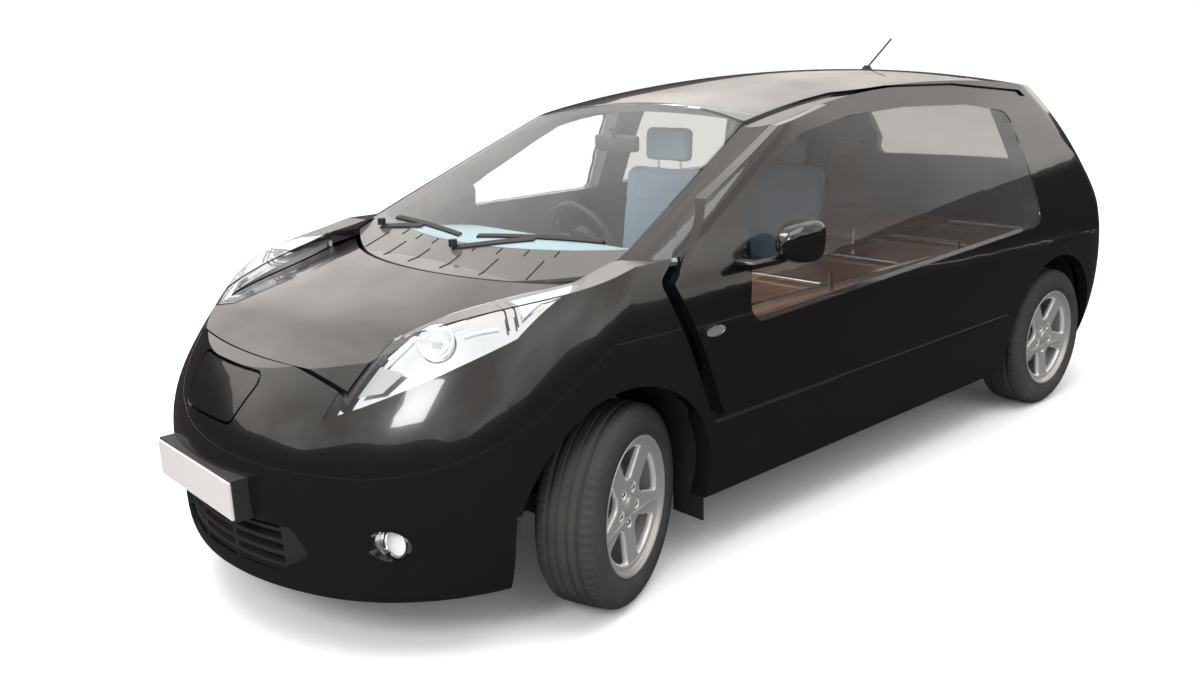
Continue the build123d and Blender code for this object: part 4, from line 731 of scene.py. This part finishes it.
def window_outline(turn_deg):
    """One window: narrow near the hub, wide near the rim, its outer side following the rim."""
    corners = [(WINDOW_INNER, -WINDOW_HALF_ANGLE[0]), (WINDOW_OUTER, -WINDOW_HALF_ANGLE[1]),
               (WINDOW_OUTER, -WINDOW_HALF_ANGLE[1] / 3), (WINDOW_OUTER, WINDOW_HALF_ANGLE[1] / 3),
               (WINDOW_OUTER, WINDOW_HALF_ANGLE[1]), (WINDOW_INNER, WINDOW_HALF_ANGLE[0])]
    turned_corners = [(r, math.radians(a + turn_deg)) for r, a in corners]
    flat = [(r * math.cos(a), r * math.sin(a)) for r, a in turned_corners]
    return rounded_outline(flat, WINDOW_CORNER)


def nut_place(spoke):
    """The middle of one wheel nut, which sits between two windows."""
    angle = math.radians(FIRST_WINDOW_DEG + SPOKE_DEG / 2 + spoke * SPOKE_DEG)
    return NUT_CIRCLE * math.cos(angle), NUT_CIRCLE * math.sin(angle)


def add_spline(curve, points, closed):
    """A straight-edged path through the points of a curve object."""
    spline = curve.splines.new("POLY")
    spline.points.add(len(points) - 1)
    for spot, point in zip(spline.points, points):
        spot.co = (*point, 1)
    spline.use_cyclic_u = closed


def curve_mesh(curve):
    """The mesh of a curve, which is then removed."""
    holder = bpy.data.objects.new(curve.name, curve)
    SCENE.collection.objects.link(holder)
    bpy.context.view_layer.update()
    mesh = bpy.data.meshes.new_from_object(holder.evaluated_get(bpy.context.evaluated_depsgraph_get()))
    bpy.data.objects.remove(holder)
    bpy.data.curves.remove(curve)
    return mesh


def face_mesh():
    """The wheel face from filled curves with a rounded edge."""
    curve = bpy.data.curves.new("wheel_face_outline", "CURVE")
    curve.dimensions = "2D"
    curve.fill_mode = "BOTH"
    curve.extrude = FACE_HALF_THICK - EDGE_ROUND
    curve.bevel_depth = EDGE_ROUND
    curve.bevel_resolution = 3
    curve.offset = -EDGE_ROUND
    outlines = [circle_outline(FACE_RADIUS, RIM_STEPS)]
    for spoke in range(SPOKES):
        outlines.append(window_outline(FIRST_WINDOW_DEG + spoke * SPOKE_DEG))
        outlines.append(circle_outline(NUT_POCKET, POCKET_STEPS, nut_place(spoke)))
    for outline in outlines:
        add_spline(curve, [(x, y, 0) for x, y in outline], closed=True)
    return curve_mesh(curve)


def dish(mesh):
    """Sinks the middle of the face towards the car and moves it to its place on the axle."""
    for vertex in mesh.vertices:
        radius = math.hypot(vertex.co.x, vertex.co.y)
        sink = FACE_SINK * (1 - (radius / FACE_RADIUS) ** 2)
        rise = HUB_RISE * max(0, 1 - radius / HUB_RADIUS)
        vertex.co.z += FACE_MIDDLE - sink + rise


def paint_edge_highlight(mesh):
    """Gives the steep rounded edges the second material, whose brighter colour is a painted highlight."""
    for polygon in mesh.polygons:
        if abs(polygon.normal.z) < STEEP_LIMIT:
            polygon.material_index = 1


def joined_pieces(name, things):
    """Joins mesh objects into one, keeping their materials."""
    with bpy.context.temp_override(active_object=things[0], selected_editable_objects=things):
        bpy.ops.object.join()
    things[0].name = name
    return things[0]


def wheel_look(name):
    """Face, barrel, brake disc, hub, nuts and centre cap as one piece about its own axle."""
    face = linked(name, face_mesh())
    dish(face.data)
    # The second finish is the painted highlight on the steep edges.
    give_finish(face, "alloy", "alloy_bevel")
    paint_edge_highlight(face.data)
    barrel = turned("barrel", BARREL, RIM_STEPS, closed=True)
    disc = turned("disc", DISC, DISC_STEPS, closed=True, smooth=False)
    hat = turned("hat", DISC_HAT, CAP_STEPS)
    cap = turned("cap", CAP, CAP_STEPS)
    for thing, finish in ((barrel, "alloy"), (disc, "disc"), (hat, "cast"), (cap, "alloy")):
        give_finish(thing, finish)
    parts = [face, barrel, disc, hat, cap]
    for spoke in range(SPOKES):
        nut = turned("nut", NUT, NUT_SIDES, smooth=False)
        nut.data.transform(Matrix.Translation((*nut_place(spoke), 0)))
        parts.append(give_finish(nut, "bright"))
    return joined_pieces(name, parts)


for axle, side in WHEELS:
    wheel = wheel_look(f"{axle}_rim_{side}_look")
    place_piece(wheel, wheel_matrix(axle, side), f"{axle}_wheel_{side}", None, f"{axle}_rim_{side}")
print("wheel faces", len(wheel.data.polygons))

# %% [markdown]
# ## Seats
# A seat is a plain base with three stuffed pads: cushion, back and headrest. Each pad is a block with
# rounded edges that is crowned in the middle, as foam under cloth is, and drawn in along its seams.

# %% Seat pads
PAD_CUTS = 44
UNDERSIDE_CROWN = 0.15
SEAM_DEPTH = 0.007
SEAM_WIDTH = 0.011
SEAT_Y = -0.370
PEDESTAL_BEVEL = 0.02
POST_APART = 0.07
POST_LENGTH = 0.16
POST_RADIUS = 0.006


def block_object(name, block, smooth):
    """A worked block as an object of the scene."""
    mesh = bpy.data.meshes.new(name)
    block.to_mesh(mesh)
    block.free()
    return linked(name, mesh, smooth)


def pad_mesh(name, size, rounding, crown, seams_across=(), seams_along=()):
    """A stuffed block about its own middle, crowned on +Z, with seams at the given x and y places."""
    half = np.array(size) / 2
    block = bmesh.new()
    bmesh.ops.create_cube(block, size=2)
    bmesh.ops.subdivide_edges(block, edges=block.edges[:], cuts=PAD_CUTS, use_grid_fill=True)
    for vertex in block.verts:
        unit = np.array(vertex.co)
        spot = unit * half
        core = np.clip(spot, rounding - half, half - rounding)
        out = spot - core
        spot = core + out / np.linalg.norm(out) * rounding
        fullness = (1 - unit[0] ** 2) * (1 - unit[1] ** 2)
        spot[2] += crown * fullness * (1 if unit[2] > 0 else UNDERSIDE_CROWN) * np.sign(unit[2])
        pull = max([math.exp(-(((spot[0] - x) / SEAM_WIDTH) ** 2)) for x in seams_across]
                   + [math.exp(-(((spot[1] - y) / SEAM_WIDTH) ** 2)) for y in seams_along] + [0])
        if unit[2] > 0.5:
            spot[2] -= SEAM_DEPTH * pull
        vertex.co = spot
    return block_object(name, block, smooth=True)


def pad_place(middle, lean_deg):
    """A pad's place: lean 0 lies flat with its crown up; 90 stands with its crown towards the nose."""
    return Matrix.Translation(middle) @ Matrix.Rotation(math.radians(lean_deg), 4, "Y")


def box_mesh(name, low, high, bevel=0.0, smooth=False):
    """A plain block between two corners, with its edges broken where a bevel is given."""
    block = bmesh.new()
    bmesh.ops.create_cube(block, size=1)
    for vertex in block.verts:
        vertex.co = [low[i] if vertex.co[i] < 0 else high[i] for i in range(3)]
    if bevel:
        bmesh.ops.bevel(block, geom=block.edges[:], offset=bevel, segments=3, affect="EDGES", profile=0.5)
    return block_object(name, block, smooth)


def tube_mesh(name, points, radius, sides=10):
    """A round bar through the given points."""
    curve = bpy.data.curves.new(name, "CURVE")
    curve.dimensions = "3D"
    curve.bevel_depth = radius
    curve.bevel_resolution = max(1, sides // 4)
    curve.use_fill_caps = True
    add_spline(curve, points, closed=False)
    return linked(name, curve_mesh(curve))


STILL = Matrix.Identity(4)
SEAT_ROWS = {
    "driver_seat": {
        "pedestal": ((-0.12, -0.55, 0.264), (0.36, -0.19, 0.450)),
        "cushion": {"middle": (0.165, SEAT_Y, 0.520), "size": (0.46, 0.475, 0.15), "lean": 6},
        "back": {"middle": (-0.160, SEAT_Y, 0.860), "size": (0.56, 0.470, 0.115), "lean": 82},
        "head": {"middle": (-0.196, SEAT_Y, 1.245), "size": (0.145, 0.255, 0.066), "lean": 86},
    },
    "rear_seat": {
        "pedestal": ((-0.955, -0.58, 0.264), (-0.55, -0.16, 0.450)),
        "cushion": {"middle": (-0.705, SEAT_Y, 0.515), "size": (0.40, 0.495, 0.14), "lean": 6},
        "back": {"middle": (-0.975, SEAT_Y, 0.835), "size": (0.50, 0.490, 0.105), "lean": 81},
        "head": {"middle": (-1.018, SEAT_Y, 1.145), "size": (0.125, 0.255, 0.060), "lean": 85},
    },
}
for seat, row in SEAT_ROWS.items():
    for part, rounding, crown, across, along in (
        ("cushion", 0.045, 0.022, (0.10,), (-0.15, 0.15)),
        ("back", 0.045, 0.020, (0.12, -0.12), (-0.15, 0.15)),
        ("head", 0.028, 0.008, (), ()),
    ):
        plan = row[part]
        pad = pad_mesh(f"{seat}_{part}", plan["size"], rounding, crown, across, along)
        place_piece(pad, pad_place(plan["middle"], plan["lean"]), "body", "seat",
                    seat if part == "cushion" else None)
    pedestal = box_mesh(f"{seat}_base", *row["pedestal"], PEDESTAL_BEVEL)
    place_piece(pedestal, STILL, "body", "trim")
    posts = []
    for side in (-1, 1):
        top = Vector(row["head"]["middle"]) + Vector((0, side * POST_APART, 0))
        posts.append(tube_mesh("post", [top - Vector((0, 0, POST_LENGTH)), top], POST_RADIUS))
    place_piece(joined_pieces(f"{seat}_posts", posts), STILL, "body", "bright")
print("seat pads", len(pad.data.polygons))

# %% [markdown]
# ## Headlamps
# Behind each clear lens lies a bright reflector with a round projector bowl, a grey indicator pocket at
# the tip, two thin split lines and a plain white rear segment. Each detail is found by looking down on the
# lens from above and going in behind it, so that it follows the slope of the lamp.

# %% Finding places on a surface
def surface_of(node):
    """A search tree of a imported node, for finding points on its surface."""
    mesh = NODES[node].data
    faces = [tuple(polygon.vertices) for polygon in mesh.polygons]
    return BVHTree.FromPolygons([tuple(vertex.co) for vertex in mesh.vertices], faces)


def drop_on(tree, x, y, start=2.0):
    """The point and normal that a plumb line at x, y meets first."""
    point, normal, _, _ = tree.ray_cast(Vector((x, y, start)), Vector((0, 0, -1)))
    return point, normal


def press_on(tree, x, z, side):
    """The point and normal met when pressing inwards on the left (1) or right (-1) flank at x, z."""
    point, normal, _, _ = tree.ray_cast(Vector((x, side * 2, z)), Vector((0, -side, 0)))
    return point, normal


def line_on(tree, start, end, lift, steps=16):
    """Points along a plan line, lifted off the surface along its normal; places off it are left out."""
    found = []
    for t in np.linspace(0, 1, steps):
        x = start[0] + t * (end[0] - start[0])
        y = start[1] + t * (end[1] - start[1])
        point, normal = drop_on(tree, x, y)
        if point is not None:
            found.append(point + normal * lift)
    return found


def facing(point, normal):
    """A place whose z axis is the normal."""
    return Matrix.Translation(point) @ normal.to_track_quat("Z", "Y").to_matrix().to_4x4()


def patch_on(name, tree, corners, lift, rows=10, columns=14):
    """A sheet over a four-cornered plan patch, following the surface at a given lift.

    Where the surface ends inside the patch, the point moves towards the middle until it finds it.
    """
    first, second, third, fourth = (np.array(corner) for corner in corners)
    middle = (first + second + third + fourth) / 4
    points = []
    for i in range(rows):
        for j in range(columns):
            u, v = i / (rows - 1), j / (columns - 1)
            spot = (1 - u) * ((1 - v) * first + v * second) + u * ((1 - v) * fourth + v * third)
            point, normal = drop_on(tree, *spot)
            while point is None:
                spot = spot + 0.1 * (middle - spot)
                point, normal = drop_on(tree, *spot)
            points.append(point + normal * lift)
    faces = [(i * columns + j, i * columns + j + 1, (i + 1) * columns + j + 1, (i + 1) * columns + j)
             for i in range(rows - 1) for j in range(columns - 1)]
    return mesh_object(name, points, faces)


# %% Headlamp insides
LAMP = surface_of("headlamp_lenses")
BOWL_PLACE = (1.760, 0.640)
BOWL_LIFT = -0.019
BOWL_STEPS = 64
BOWL = [
    (0.052, 0.006), (0.050, 0.0085), (0.046, 0.0075), (0.040, 0.002), (0.030, -0.003), (0.018, -0.005),
    (0, -0.005),
]
BULB = [(0.016, -0.005), (0.0155, 0.001), (0.011, 0.006), (0, 0.008)]
POCKET = [(1.950, 0.530), (1.905, 0.585), (1.850, 0.610), (1.880, 0.545)]
POCKET_LIFT = -0.012
SPLITS = [((1.560, 0.655), (1.600, 0.765)), ((1.535, 0.665), (1.575, 0.775))]
SPLIT_LIFT = -0.0085
SPLIT_RADIUS = 0.0028
REAR_PATCH = [(1.520, 0.668), (1.555, 0.772), (1.405, 0.790), (1.345, 0.735)]
REAR_LIFT = -0.010
EDGE_LIFT = -0.0095
EDGE_RADIUS = 0.004
FINS = [((1.900, 0.545), (1.690, 0.625)), ((1.860, 0.550), (1.660, 0.640)), ((1.700, 0.690), (1.620, 0.745))]
FIN_LIFT = -0.022
FIN_RADIUS = 0.005


def lamp_details(side_name, side):
    """The details inside one lamp, each riding on the body."""
    def at(place):
        return place[0], side * place[1]

    parts = []
    point, normal = drop_on(LAMP, *at(BOWL_PLACE))
    for label, profile, finish in (("bowl", BOWL, "lamp_inside"), ("bulb", BULB, "lens_bulb")):
        piece = turned(label, profile, BOWL_STEPS)
        piece.data.transform(facing(point + normal * BOWL_LIFT, normal))
        parts.append(give_finish(piece, finish))
    for label, corners, lift, finish in (("pocket", POCKET, POCKET_LIFT, "pocket"),
                                         ("rear_segment", REAR_PATCH, REAR_LIFT, "lamp_white")):
        patch = patch_on(label, LAMP, [at(place) for place in corners], lift)
        parts.append(give_finish(patch, finish))
    for label, lines, lift, radius, finish in (
        ("split", SPLITS, SPLIT_LIFT, SPLIT_RADIUS, "black"),
        ("fin", FINS, FIN_LIFT, FIN_RADIUS, "lamp_inside"),
        ("edge", [REAR_PATCH[1:3]], EDGE_LIFT, EDGE_RADIUS, "bright"),
    ):
        for start, end in lines:
            bar = tube_mesh(label, line_on(LAMP, at(start), at(end), lift), radius)
            parts.append(give_finish(bar, finish))
    whole = joined_pieces(f"headlamp_details_{side_name}", parts)
    return place_piece(whole, STILL, "body")


for side_name, side in SIDES:
    details = lamp_details(side_name, side)
print("headlamp faces", len(details.data.polygons))

# %% [markdown]
# ## Fog lamps and the scuttle
# The fog lamps get a bright ring and a bowl. The scuttle below the windscreen is one moulding with two
# rows of fine slots for the air of the cabin; a thin dark bar on the surface is painted shade that stands
# for the shadow inside a slot, and reads as a slot at this distance.

# %% Fog lamp rings and scuttle slots
FOG = surface_of("fog_lamps")
FOG_PLACE = (0.652, 0.372)
FOG_AHEAD_X = 3
FOG_LOOK = (0.97, 0.2, 0.12)
FOG_STEPS = 48
FOG_RING = [(0.044, 0.002), (0.042, 0.006), (0.037, 0.005), (0.035, 0.0)]
FOG_BOWL = [(0.035, 0.002), (0.028, 0.004), (0.016, 0.0055), (0, 0.006)]
for side_name, side in SIDES:
    ahead = Vector((FOG_AHEAD_X, side * FOG_PLACE[0], FOG_PLACE[1]))
    point = FOG.ray_cast(ahead, Vector((-1, 0, 0)))[0]
    look = Vector((FOG_LOOK[0], side * FOG_LOOK[1], FOG_LOOK[2])).normalized()
    parts = []
    for label, profile, finish in (("ring", FOG_RING, "bright"), ("bowl", FOG_BOWL, "lamp_white")):
        piece = turned(label, profile, FOG_STEPS)
        piece.data.transform(facing(point, look))
        parts.append(give_finish(piece, finish))
    ring = joined_pieces(f"fog_lamp_ring_{side_name}", parts)
    place_piece(ring, STILL, "body")

SCUTTLE = surface_of("scuttle_panel")
LONG_SLOTS = 6
SHORT_SLOTS = 9
SLOT_FAN = 0.46
SLOT_SPREAD = 0.48
SLOT_FRONT_X = 1.415
SLOT_BOW = 0.27
SLOT_SHIFT = 0.06
SLOT_LIFT = 0.0006
SLOT_RADIUS = 0.0022
SLOT_STEPS = 8
SLOT_FEWEST = 4
parts = []
for count, near, far in ((LONG_SLOTS, 0.10, 0.19), (SHORT_SLOTS, 0.215, 0.265)):
    for index in range(count):
        across = -SLOT_SPREAD + 2 * SLOT_SPREAD * index / (count - 1)
        front_x = SLOT_FRONT_X - SLOT_BOW * across**2
        start = (front_x - near + SLOT_SHIFT, across)
        end = (front_x - far + SLOT_SHIFT, across * (1 - SLOT_FAN * (far - near)))
        path = line_on(SCUTTLE, start, end, SLOT_LIFT, SLOT_STEPS)
        if len(path) >= SLOT_FEWEST:
            # Each slot is a dark bar on the surface: painted shade for the shadow inside a slot.
            parts.append(give_finish(tube_mesh("slot", path, SLOT_RADIUS, sides=8), "black"))
slots = joined_pieces("scuttle_slots", parts)
place_piece(slots, STILL, "body")
print("scuttle slots", len(parts))

# %% [markdown]
# ## Door mirrors and handles
# A mirror housing is a rounded shell that closes towards the nose and carries its glass at the back. The
# right mirror swings with the driver's door. The right side was not photographed; it gets the plain pull
# handles that such doors have.

# %% Door mirrors
MIRROR_MIDDLE = (0.948, 1.044)
MIRROR_REAR_X = 0.513
MIRROR_FRONT_X = 0.668
MIRROR_HALF = (0.067, 0.070)
MIRROR_SQUARENESS = 3.2
MIRROR_STEPS = 48
MIRROR_SECTIONS = 16
MIRROR_WAIST = 0.08
PANE_INSET = 0.004
PANE_SCALE = 0.93
MIRROR_FOOT = ((0.725, 0.845, 0.985), (0.790, 0.945, 1.009))
MIRROR_ARM = ((0.620, 0.908, 0.985), (0.745, 0.946, 1.010))
FOOT_BEVEL = 0.008
ARM_BEVEL = 0.009


def mirror_ring(x, scale, side):
    """One closed section of the housing, wider at the top than at the bottom."""
    ring = []
    for step in range(MIRROR_STEPS):
        angle = 2 * math.pi * step / MIRROR_STEPS
        across = math.copysign(abs(math.cos(angle)) ** (2 / MIRROR_SQUARENESS), math.cos(angle))
        up = math.copysign(abs(math.sin(angle)) ** (2 / MIRROR_SQUARENESS), math.sin(angle))
        width = MIRROR_HALF[0] * scale * (1 - MIRROR_WAIST + MIRROR_WAIST * up)
        height = MIRROR_HALF[1] * scale
        ring.append((x, side * MIRROR_MIDDLE[0] + width * across, MIRROR_MIDDLE[1] + height * up))
    return ring


def mirror_look(side_name, side, finish, body):
    """Housing, glass, arm and foot of one mirror as one piece."""
    points = []
    for section in range(MIRROR_SECTIONS):
        t = section / (MIRROR_SECTIONS - 1)
        x = MIRROR_REAR_X + t * (MIRROR_FRONT_X - MIRROR_REAR_X)
        points += mirror_ring(x, max(0.02, (1 - t**2.4) ** 0.42) * (0.95 + 0.05 * min(1, 8 * t)), side)
    faces = ring_faces(MIRROR_SECTIONS, MIRROR_STEPS) + [last_ring(MIRROR_SECTIONS, MIRROR_STEPS)]
    shell = mesh_object("shell", points, faces)
    pane_ring = mirror_ring(MIRROR_REAR_X + PANE_INSET, PANE_SCALE, side)
    pane = mesh_object("pane", pane_ring, [tuple(range(MIRROR_STEPS))], smooth=False)
    parts = [give_finish(shell, finish), give_finish(pane, "bright")]
    for label, corners, bevel in (("foot", MIRROR_FOOT, FOOT_BEVEL), ("arm", MIRROR_ARM, ARM_BEVEL)):
        (low_x, inner, low_z), (high_x, outer, high_z) = corners
        near, far = sorted((side * inner, side * outer))
        block = box_mesh(label, (low_x, near, low_z), (high_x, far, high_z), bevel, smooth=True)
        parts.append(give_finish(block, finish))
    whole = joined_pieces(f"door_mirror_{side_name}_look", parts)
    return place_piece(whole, STILL, body, None, f"door_mirror_{side_name}")


mirror_look("left", 1, "panel", "body")
mirror = mirror_look("right", -1, "paint", "driver_door")
print("mirror faces", len(mirror.data.polygons))

# %% Right door handles
HANDLES = [("driver_door", "driver_door", -0.035, 0.905), ("rear_door_right", "rear_door", -0.875, 0.935)]
HANDLE_HALF = 0.085
HANDLE_PROUD = 0.030
HANDLE_RADIUS = 0.010
HANDLE_STEPS = 17
for node, body, handle_x, handle_z in HANDLES:
    door = surface_of(node)
    path = []
    for t in np.linspace(-1, 1, HANDLE_STEPS):
        point, normal = press_on(door, handle_x + t * HANDLE_HALF, handle_z, -1)
        path.append(point + normal * HANDLE_PROUD * (1 - abs(t) ** 6))
    handle = tube_mesh(f"{node}_handle", path, HANDLE_RADIUS, sides=12)
    place_piece(handle, STILL, body, "paint")
print("handles", len(HANDLES))

# %% [markdown]
# ## Interior mirror
# A small mirror hangs on a stalk from the inside of the windscreen, near its top, where the photograph
# shows it faintly. The stalk starts on the glass and reaches down and a little back to the middle of the
# mirror.

# %% Interior mirror
STALK_X = 0.50
STALK_RADIUS = 0.007
STALK_REACH = Vector((0.03, 0, 0.055))
INNER_MIRROR_HALF = Vector((0.016, 0.115, 0.031))
INNER_MIRROR_BEVEL = 0.013
INNER_PANE_HALF = Vector((0.002, 0.104, 0.023))
INNER_PANE_BEVEL = 0.0015
glass_point = surface_of("windscreen").ray_cast(Vector((STALK_X, 0, 1.0)), Vector((0, 0, 1)))[0]
hang_point = glass_point - STALK_REACH
stalk = tube_mesh("stalk", [glass_point, glass_point - STALK_REACH * 0.4, hang_point], STALK_RADIUS)
low, high = hang_point - INNER_MIRROR_HALF, hang_point + INNER_MIRROR_HALF
housing = box_mesh("housing", low, high, INNER_MIRROR_BEVEL, smooth=True)
pane_point = hang_point - Vector((INNER_MIRROR_HALF.x, 0, 0))
low, high = pane_point - INNER_PANE_HALF, pane_point + INNER_PANE_HALF
inner_pane = box_mesh("inner_pane", low, high, INNER_PANE_BEVEL)
for thing, finish in ((stalk, "trim"), (housing, "trim"), (inner_pane, "bright")):
    give_finish(thing, finish)
inner_mirror = joined_pieces("interior_mirror", [housing, stalk, inner_pane])
place_piece(inner_mirror, STILL, "body")
print("interior mirror at", [round(value, 3) for value in hang_point])
